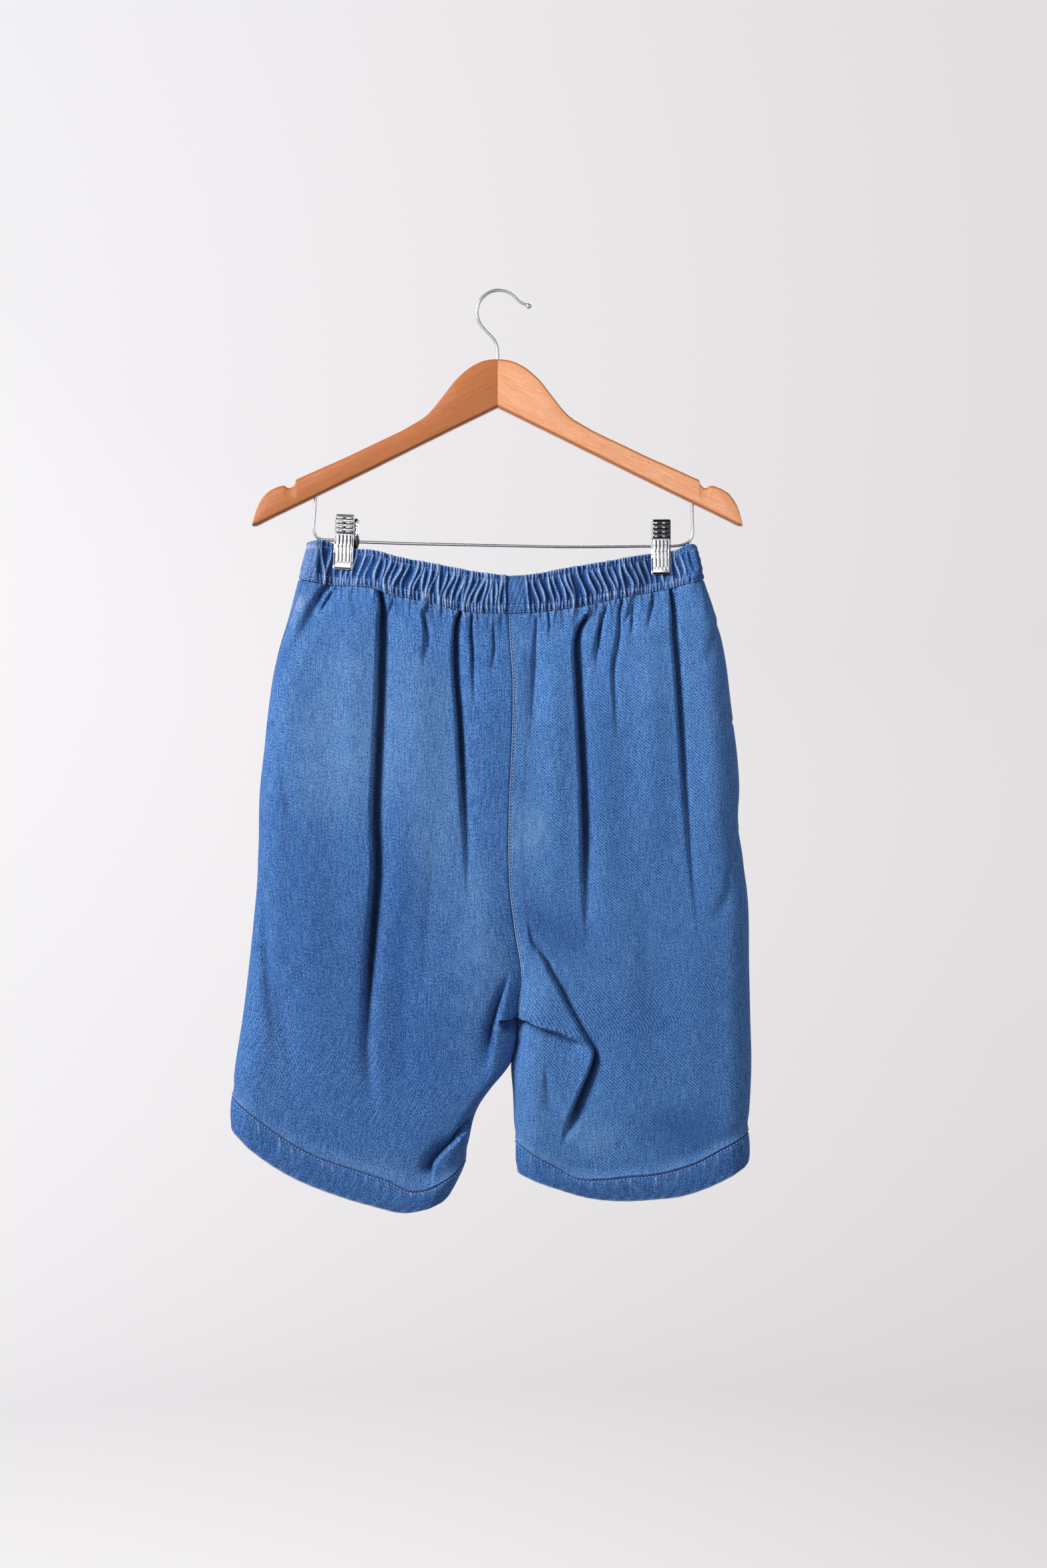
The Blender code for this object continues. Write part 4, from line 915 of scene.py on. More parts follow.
panels = {}
for half, layer in quarters:
    columns, rows = PANEL_MESH[layer]
    crowd_across, crowd_down = CLOSER[layer]
    v = np.linspace(0.0, 1.0, rows)[:, None]
    v = v + crowd_down * (np.sin(2 * pi * (v - 0.24)) + sin(2 * pi * 0.24)) / (2 * pi)
    v = v * (1.0 - 0.3 / PANEL_HEIGHT)
    seam = side_seam(half.name, v)
    spread = np.linspace(0.0, 1.0, columns)[None]
    spread = spread + crowd_across * spread * (1.0 - spread)
    u, v = np.broadcast_arrays(seam + (FACING[layer] - seam) * spread, v)
    extra, from_centre = panel_detail(half, u, v)
    outer, height = half.cloth(layer, u, v, extra)
    outward = half.outward_normal(u, v)
    beside = np.pad(height, ((1, 1), (2, 2)), mode="edge")
    lowest = np.min([beside[j:j + rows, k:k + columns] for j in range(3) for k in range(5)],
                    axis=0)
    inner = outer - faced(outer, outward) * CLOTH - outward * (height - lowest)[..., None]
    inner = half.keep_apart(layer, inner, u, v)
    plain = half.skin(u, v)
    x, z = plain[..., 0], plain[..., 2]
    # The dye note: deep dye together with painted shade beside the folds and, behind, in the
    # crotch.
    if layer == "back":
        worn, dye_and_shade = blobs(WORN, x, z), blobs(DEEP_DYE_AND_SHADE + CROTCH_SHADE, x, z)
    else:
        mirrored, raised = WEAR_MIRROR - x, z - WEAR_RAISED
        worn, dye_and_shade = blobs(WORN, mirrored, raised) * FRONT_WEAR, blobs(DEEP_DYE_AND_SHADE, mirrored, raised)
    _, ripples, lines = relief(half.name, layer, plain)
    folds = height - extra - ripples
    folds = folds - blobs(SWELLS[layer], x, z)
    # Below 0 in the folds' hollows, where it paints shade; above 0 along the puckers' rubbed
    # crests.
    ridge = np.clip(np.minimum(folds, 0.0) * 0.08 + np.maximum(lines - 0.15, 0.0) * 0.95,
                    -1.0, 0.75)
    ridge = ridge + blobs(POCKET_RUBBED, x, z)
    if half.name == "right" and layer == "back":
        ridge = ridge + 0.75 * bell(from_centre - 0.2, 0.65) * (v < CROTCH_V)
    fell_edge_shade = bell(from_centre - FELL_WIDTH, 0.9) if half.name == "right" else 0.0
    above_hem = (1.0 - v) * PANEL_HEIGHT
    ridge = ridge + 0.48 * bell(above_hem - 2.9, 1.9)
    # Painted shade along the hem's stitch groove and along the edge of the felled allowance.
    dye_and_shade = dye_and_shade + 0.35 * bell(above_hem, 0.9) + 0.15 * fell_edge_shade
    worn = worn + 0.5 * bell(above_hem - 6.0, 7.0)
    weave, look = weave_of(plain, half, layer, TWILL_CLARITY[half.name]), stacked(ridge, worn, dye_and_shade)
    fewer = np.append(np.arange(columns - 1, 0, -2), 0)
    hidden = stacked(0.0, 0.0, np.full((rows, len(fewer)), -1.0))
    rings = np.concatenate([outer, inner[:, fewer]], 1)
    panels[half.name, layer] = sew(
        f"panel_{layer}_{half.name}", rings, ring_faces(rings, columns), f"{layer}_{half.name}",
        np.concatenate([weave, weave[:, fewer]], 1), np.concatenate([look, hidden], 1))


# ------------------------------------------------------------------ edges of the side pockets
# On each side the front panel's pocket opening is turned and topstitched. On the left it wraps
# round to the back as a pale strip with a thin stitched line.

POCKET_LENGTH_V = 0.24    # down the panel
POCKET_EDGE_U = {"left": (0.030, -0.012), "right": (-0.02, -0.06)}    # at the waist
POCKET_LOW_U = {"left": (-0.010, -0.045), "right": (-0.02, -0.06)}
EDGE_WALL = 0.9
EDGE_WIDTH = 9.0


def pocket_u(side, share, edge):
    """The strip's place u at a share of its length, at its edge behind (0) or before (1)."""
    return mix(POCKET_EDGE_U[side][edge], POCKET_LOW_U[side][edge], share)


for half in halves.values():
    share = np.linspace(0.0, 1.0, 90)[:, None]
    across = np.linspace(0.0, 1.0, 16)[None]
    start, stop = pocket_u(half.name, share, 0), pocket_u(half.name, share, 1)
    u, v = np.broadcast_arrays(start + (stop - start) * across, share * POCKET_LENGTH_V)
    point, normal = half.skin(u, v), half.outward_normal(u, v)
    base = point + normal * (shared_height(half.name, point) + 0.15)[..., None]
    rounded = EDGE_WALL * np.sqrt(np.maximum(1.0 - (2.0 * across - 1.0) ** 8, 0.05))
    top = base + normal * (rounded - 0.3 * bell(across - 0.2, 0.05))[..., None]
    rings = np.concatenate([top, base[:, ::-1]], 1)
    weave = stacked(across * EDGE_WIDTH, v * PANEL_HEIGHT, 0.3)
    # The third part is painted shade along the stitch groove; the edges are rubbed pale.
    look = stacked(0.55 * bell(across - 0.02, 0.07) + 0.35 * bell(across - 0.98, 0.07),
                   np.full(v.shape, 0.5), 0.6 * bell(across - 0.2, 0.06))
    sew(
        f"pocket_edge_of_{half.name}", rings, ring_faces(rings), f"pocket_edge_{half.name}",
        np.concatenate([weave, weave[:, ::-1]], 1), np.concatenate([look, look[:, ::-1]], 1))


# ------------------------------------------------------------------ gathered waistband casing
# A doubled strip of the same denim is sewn over wide elastic with three rows of stitches. The
# elastic draws it into narrow upright ridges, rubbed nearly white, with deep blue between them.

WAIST_TOP = {
    "left": table(Edge, (-173.5, -233), (-158.5, -231.5), (-140, -237.5), (-112.5, -241),
                  (-88.5, -247.5), (-52, -254.5), (-15, -261.5), (10.5, -264.5)),
    "right": table(Edge, (182, -236), (173.5, -235.5), (161.5, -241), (137, -244), (100.5, -251),
                   (64, -257), (33.5, -263), (10.5, -264.5)),
}
BAND_HEIGHT = 35.0
BAND_END = 9.0            # length over which the casing turns round the side
RIDGE = {"left": 2.6, "right": 2.8}             # height of the gathers
RIDGE_WIDTH = (2.1, 0.75) # on its gentle side, to the left, and on its steep side
FRONT_LEAN, FRONT_CRESTS = 0.6, 1.75   # the front's ridges lean less, and low ones stand high
RUBBED_WIDTH = 0.85       # of the pale line along its crest
BAND_END_RUB_AND_SHADE = {"left": (0.46, 0.0), "right": (0.0, 0.35)}    # how rubbed the left end is, and how much painted shade darkens the right end
SEAM_BLOCK = (9.5, 24.0)  # where the casing's own seam lies flat, to the right of the middle
END_CALM = 162.0          # how far out the casing lies flat under its end
BAND_COLUMNS = 400
BAND_LEVELS = 26
TOP_ROW, FOOT_ROWS = 0.15, (0.80, 0.965)        # heights of the stitch rows down the casing
BAND_FOLD = (25.0, 50.0, 75.0, 105.0, 130.0, 155.0)     # degrees round its top fold
FILL_RIDGE = 0.75         # of the small ridges between the main ones, at the stitch rows
TUCK = 2.0                # how far the casing's foot turns in under the waist seam


def seam_block(x):
    """1 where the casing's own seam lies flat, 0 elsewhere."""
    return ease((x - SEAM_BLOCK[0]) / 1.5) * (1.0 - ease((x - SEAM_BLOCK[1]) / 1.5))


class Casing:
    """One quarter of the waist casing, back or front, left or right."""

    def __init__(self, half, layer):
        self.half = half
        self.top, self.foot = smooth_curve(WAIST_TOP[half.name]), half.waist
        self.front = -FACING[layer]
        self.width = abs(WAIST_TOP[half.name][0].x - WAIST_TOP[half.name][-1].x)
        self.rows = GATHERS[half.name]
        if layer == "front":
            self.rows = [row._replace(x=row.x * FRONT_PITCH + FRONT_SHIFT,
                                      crest=FRONT_CRESTS - row.crest, lean=row.lean * FRONT_LEAN)
                         for row in self.rows]

    def face(self, distance, height):
        """Points of the casing's plain outer face, distance along and height down it."""
        share = distance / self.width
        spot = mix(self.top(share), self.foot(share), height[..., None])
        space = column(BAND_SPACE, "half_gap", spot[..., 0]) + BAND_FLARE * height
        space = mix(space, PINCHED_GAP, pinch(spot[..., 0], spot[..., 1]))
        turn = np.minimum(distance / BAND_END, 1.0)
        depth = (space + BAND_WALL) * np.sqrt(1.0 - (1.0 - turn) ** 2)
        return np.stack([spot[..., 0], CLOTH_Y + self.front * (depth + 0.1), spot[..., 1]], -1)

    def out(self, distance, height):
        """Unit vectors square to the plain face."""
        step = 0.4
        along = (self.face(np.minimum(distance + step, self.width), height)
                 - self.face(np.maximum(distance - step, 0.0), height))
        normal = unit(stacked(along[..., 1], -along[..., 0], 0.0))
        normal *= np.where(normal[..., 1] * self.front < 0, -1.0, 1.0)[..., None]
        side = np.array([self.half.outward, 0.0, 0.0])
        return np.where((distance <= 0.0)[..., None], side, normal)

    def ridges(self, x, height):
        """Height of the gathers, 0 in the flats and about 1 on a ridge, and their pale crests."""
        slant = 0.5 - ease((height - 0.12) / 0.68)
        total, crests = np.zeros(x.shape), np.zeros(x.shape)
        ends = np.maximum(1.0 - ease((height - 0.08) / 0.2), ease((height - 0.68) / 0.14))
        for index, row in enumerate(self.rows):
            path = row.x + row.lean * slant + 0.55 * np.sin(7.0 * height + 2.3 * index)
            swell = 0.8 + 0.22 * np.sin(pi * height) + 0.18 * np.sin(9.0 * height + 1.7 * index)
            spots = [(path, row.crest * swell, 0.85 + 0.3 * np.cos(1.7 * index) ** 2)]
            if index + 1 < len(self.rows) and 4.2 < self.rows[index + 1].x - row.x < 12.0:
                nxt = self.rows[index + 1]
                middle = 0.5 * (path + nxt.x + nxt.lean * slant) + 0.4 * np.sin(index)
                spots.append((middle, FILL_RIDGE * ends, 0.7))
            for place, high, wide in spots:
                away = (x - place) / wide
                total += high * bell(away, np.where(away < 0, *RIDGE_WIDTH))
                crests += high * bell(away + 0.25, RUBBED_WIDTH)
        return total, crests

    def rise(self, point, height):
        """The gathers' real height in mm, drawn down along the stitch rows."""
        x = point[..., 0]
        drawn = sum(bell(height - row, 0.03) for row in (TOP_ROW, *FOOT_ROWS))
        block = seam_block(x)
        ridge, crest = self.ridges(x, height)
        held = 1.0 - 0.55 * pinch(x, point[..., 2])
        flat = 0.5 * np.sin(pi * np.clip((height - TOP_ROW) / (FOOT_ROWS[0] - TOP_ROW), 0, 1))
        rise = RIDGE[self.half.name] * ridge * (1.0 - 0.4 * drawn) * (1.0 - block)
        calm = np.maximum(block, ease((abs(x) - END_CALM) / 3.0))
        wrinkle = 0.5 * np.sin(0.9 * x + 7.0 * height) * np.sin(11.0 * height + 0.5 * x + 1.0)
        rise = (rise + flat + (0.5 + wrinkle) * calm - 0.45 * drawn) * held
        rise -= TUCK * ease((height - 0.975) / 0.025)
        return rise, ridge * (1.0 - block), crest * (1.0 - block), drawn

    def surface(self, distance, height):
        point, out = self.face(distance, height), self.out(distance, height)
        rise, ridge, crest, drawn = self.rise(point, height)
        return point + out * rise[..., None], out, ridge, crest, drawn


def folded(outer, out, onward, wall, degrees):
    """Rings of points over a sheet's outer face, round its folded edge and back inside."""
    turns = np.radians(degrees)[None, :, None]
    fold = (outer[:, -1:] - out[:, -1:] * wall / 2
            + wall / 2 * (np.cos(turns) * out[:, -1:] + np.sin(turns) * onward))
    return np.concatenate([outer, fold, outer[:, ::-1] - out[:, ::-1] * wall], 1)


casings = {}
for half, layer in quarters:
    casing = Casing(half, layer)
    turn = BAND_END * (1.0 - np.cos(np.radians(np.linspace(0.0, 90.0, 14)[:-1])))
    distance = np.append(turn, np.linspace(BAND_END, casing.width, BAND_COLUMNS))[:, None]
    height, top = np.linspace(1.0, 0.045, BAND_LEVELS)[None], np.zeros(distance.shape)
    outer, out, ridge, crest, drawn = casing.surface(*np.broadcast_arrays(distance, height))
    up = unit(casing.face(distance, top) - casing.face(distance, top + 0.3))
    scallop = 1.0 + 0.45 * (ridge[:, -1:, None] - 0.5)
    rings = folded(outer, out, up * scallop, BAND_WALL, BAND_FOLD)
    along = np.linspace(0.0, 2.2, rings.shape[1])[None] * BAND_HEIGHT
    weave = stacked(-half.outward * FACING[layer] * distance, along, 0.8)
    # Rubbed pale along the crests; below 0 in the flats between ridges, where it paints shade.
    shade = np.clip(crest * 1.4 - 0.3 - 0.35 * (1.0 - np.clip(ridge * 1.5, 0, 1)), -1.0, 1.0)
    end = 1.0 - ease((distance - 12.0) / 3.0)
    plain = end + seam_block(outer[..., 0])
    # Deep dye in the flats, with painted shade along the stitch rows that draw the casing in.
    dye_and_shade = (1.3 * (1.0 - np.clip(ridge * 1.4, 0, 1)) + 0.2 * drawn) * (1.0 - 0.75 * plain)
    pale_end, shaded_end = BAND_END_RUB_AND_SHADE[half.name]
    shade = mix(shade, 0.3 * bell(height - TOP_ROW, 0.05) + pale_end * end, np.clip(plain, 0, 1))
    # Painted shade darkens the right end, where the casing turns away round the side.
    outside = stacked(shade, 0.1 + 0.2 * plain, dye_and_shade + 0.12 * plain + shaded_end * end)
    rubbed = np.clip(crest[:, -1:] * 0.9 + 0.3, -1, 1)
    lip = stacked(np.repeat(rubbed, len(BAND_FOLD), 1), 0.3, 0.15)
    piece = sew(f"casing_{layer}_{half.name}", rings, ring_faces(rings),
                f"waistband_{layer}_{half.name}", weave,
                np.concatenate([outside, lip, outside[:, ::-1] * 0.8], 1))
    casings[half.name, layer] = casing, piece


# ------------------------------------------------------------------ turned leg hems
# Each leg ends in a hem turned twice and stitched once round. It is darker than the panel, with
# small upright puckers under the stitches and a worn, whitish bottom fold.

HEM_WALL = 2.6
HEM_PROUD = 0.5
HEM_HEIGHT = 26.0
HEM_COLUMNS = 230
HEM_FOLD = (20.0, 45.0, 70.0, 95.0, 120.0, 150.0)       # degrees round its bottom fold
FRONT_PUCKERS = 4.0       # how far the front's puckers stand from the back's
Pucker = namedtuple("Pucker", "x width height reach")
HEM_PUCKERS = {
    "left": table(Pucker, (-228, 2, 0.5, 9), (-216, 1.4, 0.7, 14), (-205, 1.6, 0.5, 8),
                  (-197, 1.3, 0.8, 12), (-186, 1.8, 0.6, 16), (-176, 1.3, 0.7, 9),
                  (-166, 1.6, 0.5, 12), (-158, 1.2, 0.8, 9), (-149, 1.7, 0.6, 15),
                  (-139, 1.4, 0.7, 8), (-128, 1.8, 0.5, 13), (-119, 1.3, 0.8, 10),
                  (-108, 1.6, 0.6, 16), (-99, 1.3, 0.7, 9), (-88, 1.6, 0.6, 12),
                  (-78, 1.4, 0.7, 10), (-67, 1.5, 0.6, 14), (-57, 1.3, 0.7, 9)),
    "right": table(Pucker, (222, 1.6, 0.6, 12), (211, 1.3, 0.7, 9), (199, 1.7, 0.6, 15),
                   (187, 1.4, 0.7, 10), (174, 1.6, 0.5, 14), (163, 1.3, 0.8, 11),
                   (153, 1.8, 0.6, 9), (143, 1.4, 0.8, 16), (131, 1.6, 0.5, 10),
                   (120, 1.3, 0.8, 13), (108, 1.7, 0.6, 15), (97, 1.4, 0.7, 9), (85, 1.5, 0.7, 12),
                   (74, 1.3, 0.6, 16), (62, 1.7, 0.7, 9), (51, 1.4, 0.6, 12), (40, 1.5, 0.6, 10),
                   (30, 1.3, 0.7, 13)),
}


def hem_detail(half, layer, x, v):
    """The hem's stitch groove, its puckers and the slight roping of its fold."""
    down = (v - 1.0) * HEM_HEIGHT
    shift = 0.0 if layer == "back" else FRONT_PUCKERS
    total = np.zeros(x.shape)
    for row in HEM_PUCKERS[half.name]:
        fade = ease(down / 2.0) * bell(down, row.reach)
        total += row.height * fade * bell(x - row.x - shift - 0.1 * down, row.width)
    roping = 0.28 * np.sin(x / 1.9 + down / 3.0 + np.sin(x / 11.0)) * ease((down - 17.0) / 6.0)
    belly = 0.9 * np.sin(pi * np.clip(down / HEM_HEIGHT, 0, 1))
    groove = -0.5 * bell(down - 0.7, 0.8)
    return total + roping + belly + groove, total, down


for half, layer in quarters:
    u, v = np.broadcast_arrays(FACING[layer] * np.linspace(0.0, 1.0, HEM_COLUMNS)[:, None],
                               1.0 + np.linspace(0.0, 0.96, 20)[None])
    x = half.skin(u, v)[..., 0]
    extra, pucker, down = hem_detail(half, layer, x, v)
    outer, height = half.cloth(layer, u, v, extra + HEM_PROUD)
    low = unit(outer[:, -1] - outer[:, -4])[:, None]
    rings = folded(outer, half.outward_normal(u, v), low * 1.1, HEM_WALL, HEM_FOLD)
    grid = np.zeros(rings.shape[:2])
    rings = half.keep_apart(layer, rings, u[:, :1] + grid, 1.0 + grid)
    run = np.linspace(0.0, 60.0, rings.shape[1])[None]
    weave = stacked(FACING[layer] * x[:, :1], run + PANEL_HEIGHT, 0.25)
    ridge = np.clip(pucker * 1.1 - 0.04 + 0.45 * ease((down - 22.5) / 2.5), -1, 1)
    # Painted shade along the stitch groove; deeper blue over the whole hem.
    dye_and_shade = 0.3 + 0.35 * bell(down - 0.7, 1.0) - 0.15 * ease((down - 20.0) / 5.0)
    outside = stacked(ridge, 0.3, dye_and_shade)
    worn_fold = stacked(np.full((HEM_COLUMNS, len(HEM_FOLD)), 0.95), 0.3, 0.0)
    inside = stacked(np.zeros(ridge.shape), 0.0, -0.9)
    sew(
        f"turned_hem_{layer}_{half.name}", rings, ring_faces(rings), f"hem_{layer}_{half.name}",
        weave, np.concatenate([outside, worn_fold, inside], 1))


# ------------------------------------------------------------------ stitching
# Tone-on-tone cotton thread: single rows round the hems, three rows round the casing, and a
# paler one down the felled centre seam.

THREAD_BLUE = (0.330, 0.460, 0.700)
THREAD_PALE = (0.560, 0.620, 0.740)
TOPSTITCH_INSET = 2.0     # of the centre seam's row from the seam
HALF_WIDTH = 235.0        # about, of one panel
STITCH_SIDES = 6
STITCH_STATIONS = np.array([0.0, 0.16, 0.5, 0.84, 1.0])


def make_thread(name, tint):
    """Spun cotton thread, twisted, matt, a little paler where it rubs."""
    made = new_finish(name)
    twist = noise(Value.node("TexCoord", {}, {}, 3), 2400.0)
    shade = colours(twist.between(0.3, 0.7), tuple(c * 0.62 for c in tint), tint)
    return finish_off(made, {"Roughness": 0.8, "Sheen Weight": 0.1},
                      {"Base Color": shade, "Normal": bumps(twist, 0.4, 0.0002)})


BLUE_THREAD = make_thread("blue_thread", THREAD_BLUE)
PALE_THREAD = make_thread("pale_thread", THREAD_PALE)


def stitch_row(name, points, out, length, share, radius, thread, lift=0.18):
    """Separate stitches along a line on the cloth, each dipping into it at both ends."""
    run = run_along(points)
    count = max(int(run[-1] / length), 1)
    starts = (np.arange(count) + 0.5 * (1.0 - share)) * run[-1] / count
    at = starts[:, None] + STITCH_STATIONS[None] * share * run[-1] / count
    centre = np.stack([np.interp(at, run, points[:, axis]) for axis in range(3)], -1)
    normal = unit(np.stack([np.interp(at, run, out[:, axis]) for axis in range(3)], -1))
    arch = np.sin(pi * STITCH_STATIONS)
    centre = centre + normal * (arch * (lift + radius * 0.8) - radius * 0.5)[:, None]
    course = unit(np.gradient(centre, axis=1))
    size = radius * (0.62 + 0.38 * np.sqrt(arch))
    thread_rings = rings_about(centre, normal, unit(np.cross(course, normal)), size, STITCH_SIDES)
    rings = len(STITCH_STATIONS)
    faces = []
    for first in range(0, count * rings * STITCH_SIDES, rings * STITCH_SIDES):
        for ring in range(rings - 1):
            base = first + ring * STITCH_SIDES
            faces += [(base + k, base + (k + 1) % STITCH_SIDES,
                       base + STITCH_SIDES + (k + 1) % STITCH_SIDES, base + STITCH_SIDES + k)
                      for k in range(STITCH_SIDES)]
        faces.append(tuple(first + k for k in range(STITCH_SIDES))[::-1])
        faces.append(tuple(first + (rings - 1) * STITCH_SIDES + k for k in range(STITCH_SIDES)))
    return add_piece(name, thread_rings, faces, thread, sharp=80.0)


hem_stitches, casing_stitches = {}, {}
for half, layer in quarters:
    u = FACING[layer] * np.linspace(0.004, 0.996, 600)
    v = np.full(len(u), 1.0 + 0.7 / HEM_HEIGHT)
    extra = hem_detail(half, layer, half.skin(u, v)[..., 0], v)[0]
    line = half.cloth(layer, u, v, extra + HEM_PROUD)[0]
    hem_stitches[half.name, layer] = stitch_row(
        f"hem_stitches_{layer}_{half.name}", line, half.outward_normal(u, v), 3.3, 0.66, 0.46,
        BLUE_THREAD, 0.3)
    casing = casings[half.name, layer][0]
    distance = np.linspace(1.0, casing.width - 0.3, 900)
    casing_stitches[half.name, layer] = [stitch_row(
        f"casing_stitches_{number}_{layer}_{half.name}",
        *casing.surface(distance, np.full(len(distance), row))[:2], 3.0, 0.55, 0.4,
        BLUE_THREAD, 0.2) for number, row in enumerate((TOP_ROW, *FOOT_ROWS), 1)]

half = halves["right"]          # its felled edge lies on top at the centre seam
v = np.linspace(0.004, CROTCH_V - 0.002, 700)
u = np.full(len(v), 1.0 - ROUNDED * 0.02)
for _ in range(12):             # closes in on the place u at that distance from the seam
    here = half.skin(u, v)[..., 0] - half.inner(v)[..., 0]
    u = np.clip(u + (here - TOPSTITCH_INSET) / HALF_WIDTH, 0.5, 1.0)
line = half.cloth("back", u, v, panel_detail(half, u, v)[0])[0]
seam_stitches = stitch_row("seam_topstitch", line, half.outward_normal(u, v), 3.0, 0.55, 0.34,
                           PALE_THREAD, 0.2)

half = halves["left"]
v = np.linspace(0.004, POCKET_LENGTH_V * 0.97, 300)
u = pocket_u("left", v / POCKET_LENGTH_V, 0) - 0.0085
point, out = half.skin(u, v), half.outward_normal(u, v)
height = shared_height("left", point) + EDGE_WALL - 0.1
pocket_stitches = stitch_row("pocket_stitches", point + out * height[..., None], out, 3.0, 0.66,
                             0.3, BLUE_THREAD)


# ------------------------------------------------------------------ the cloth's cut
# The kind of record for a piece of cloth's flat width, length and area. The loop takes each panel
# with its casing in turn and works nothing out from them.

Cut = namedtuple("Cut", "width length area")
for (side, layer), panel in panels.items():
    casing = casings[side, layer][1]
    [seam_stitches] if (side, layer) == ("right", "back") else []
    f"clip_{side}_{'front' if layer == 'back' else 'rear'}_pad"


# ------------------------------------------------------------------ wooden arms of the hanger
# Two arms of orange-varnished beech, mitred together at the middle and swept forward at their
# ends, each with a strap notch near its tip and all its long edges rounded.

Arm = namedtuple("Arm", "out height")
ARM_TOP = table(Arm, (0, -62.7), (6, -63.1), (14, -64.9), (21, -68.2), (27.5, -72.5),
                (33.5, -77.6), (39.5, -83.8), (45.5, -91.6), (52, -100.2), (58, -108),
                (64, -114.7), (70, -119.6), (76, -123.3), (88, -130.4), (112.5, -142.6),
                (137, -154.8), (161.5, -166.2), (181.5, -175.6), (183.8, -176.9), (184.6, -180),
                (187, -183.2), (190, -184.4), (192.4, -183.6), (194.4, -182.2), (201, -183.9),
                (207, -187), (211.3, -190.6), (216.2, -197.3), (219.8, -205.2), (222, -213.4),
                (223, -218))
ARM_FOOT = table(Arm, (0, -107.2), (60, -137.8), (120, -168.7), (212, -215.4), (219, -219),
                 (223, -219.6))
ARM_THICK = 12.0
ARM_SWEEP = 25.0 / 223.0  # how far an arm comes forward for each mm outward
ARM_ROUND = 3.2
MITRE_GAP = 0.04
ARM_SLOPE = 0.515         # how far an arm's grain drops for each mm outward
OTHER_WOOD = {"left": 0.0, "right": 300.0}      # how far along the plank each arm was cut
# Each arm's pair of grain tones: the right arm's paler as painted sheen, the left's deeper as
# painted shade.
WOOD_PALE_AS_LIT = {"left": (0.560, 0.190, 0.056), "right": (0.760, 0.350, 0.165)}
WOOD_DEEP_AS_LIT = {"left": (0.430, 0.120, 0.028), "right": (0.590, 0.205, 0.070)}
WOOD_PORE = (0.230, 0.062, 0.016)
WOOD_EDGE_SHADE = (0.380, 0.090, 0.016)


def make_wood(side):
    """One arm's varnished beech, in colours painted for its light: sheen on the right arm, shade
    on the left. grain holds mm along, up and through the arm; rim is 1 on its rounded edges,
    painted darker there as shade.
    """
    made = new_finish(f"varnished_beech_{side}")
    along, up, through = note_of("grain")
    rim = note_of("rim")[0]
    bend = noise(at_scale(along * 0.012, up * 0.05, through * 0.05), 1.0, 1.0) * 9.0
    bands = noise(at_scale(along * 0.010, (up + bend) * 0.30, through * 0.3), 1.0, 4.0, 0.62)
    fine = noise(at_scale(along * 0.035, up * 2.2, through * 2.0), 1.0, 3.0, 0.6)
    fleck = noise(at_scale(along * 0.22, up * 3.2, through * 3.0), 1.0, 1.0, 0.5)
    patch = noise(at_scale(along * 0.02, up * 0.06, through * 0.1), 1.0, 2.0, 0.5)
    broken = noise(at_scale(along * 0.09, up * 0.55, through * 0.5), 1.0, 3.0, 0.65)
    shade = bands.between(0.3, 0.7) * 0.12 + fine.between(0.3, 0.7) * 0.32 + patch * 0.5
    body = colours(shade.between(0.2, 0.8), WOOD_PALE_AS_LIT[side], WOOD_DEEP_AS_LIT[side])
    body = colours(fleck.between(0.60, 0.72) * 0.6, body, WOOD_PORE)
    # Painted shade on the rounded edges.
    body = colours(rim.between(0.0, 1.0) * 0.75, body, WOOD_EDGE_SHADE)
    gloss = 0.30 + patch * 0.16 + rim * 0.25
    varnish = broken.between(0.36, 0.62) * 0.75 + 0.1
    return finish_off(made, {"Coat Roughness": 0.16, "Coat IOR": 1.5},
                      {"Base Color": body, "Roughness": gloss,
                       "Coat Weight": varnish * (1.0 - rim * 0.8),
                       "Normal": bumps(fine * 0.6 + broken * 0.8 + bands, 0.10, 0.0003)})


def by_out(rows, out):
    """Height of an outline at distances out from the middle, on a smooth curve."""
    line = smooth_curve(rows)(np.linspace(0.0, 1.0, 900))
    return np.interp(out, np.maximum.accumulate(line[:, 0]), line[:, 1])


out = np.concatenate([np.linspace(0, 180, 91), np.arange(180.6, 223.01, 0.6), [223.0]])
top, foot = by_out(ARM_TOP, out), by_out(ARM_FOOT, out)
quarter = np.radians(np.linspace(0.0, 90.0, 6))
for side, sign in (("left", -1.0), ("right", 1.0)):
    bend = np.minimum(ARM_ROUND, (top - foot) * 0.42)[:, None]
    deep = ARM_THICK / 2
    ring = []
    for y_sign, z_sign, start in ((-1, 1, 90), (-1, -1, 180), (1, -1, 270), (1, 1, 0)):
        angles = np.radians(start) + quarter[None]
        edge = np.where(z_sign > 0, top, foot)[:, None]
        ring.append(stacked(sign * (out[:, None] + MITRE_GAP),
                            y_sign * (deep - bend) + bend * np.cos(angles),
                            edge - z_sign * bend + bend * np.sin(angles)))
    rings = np.concatenate(ring, 1)
    grain = stacked(0.9 * out[:, None] + OTHER_WOOD[side],
                    rings[..., 2] + ARM_SLOPE * out[:, None], rings[..., 1])
    rim = np.tile(np.sin(2.0 * quarter), 4)[None, :, None] * np.ones((len(out), 1, 3))
    rings[..., 1] -= ARM_SWEEP * out[:, None]
    add_piece(f"arm_{side}", rings, ring_faces(rings), make_wood(side),
              [f"hanger_arm_{side}"], {"grain": grain, "rim": rim}, 60.0)


# ------------------------------------------------------------------ hook, bar and spring clips
# The hook and the U-shaped bar are bright plated wire. Two pressed chrome clips slide on the
# bar, each of two ribbed plates closed by a spring over a black sleeve, with black jaw pads.

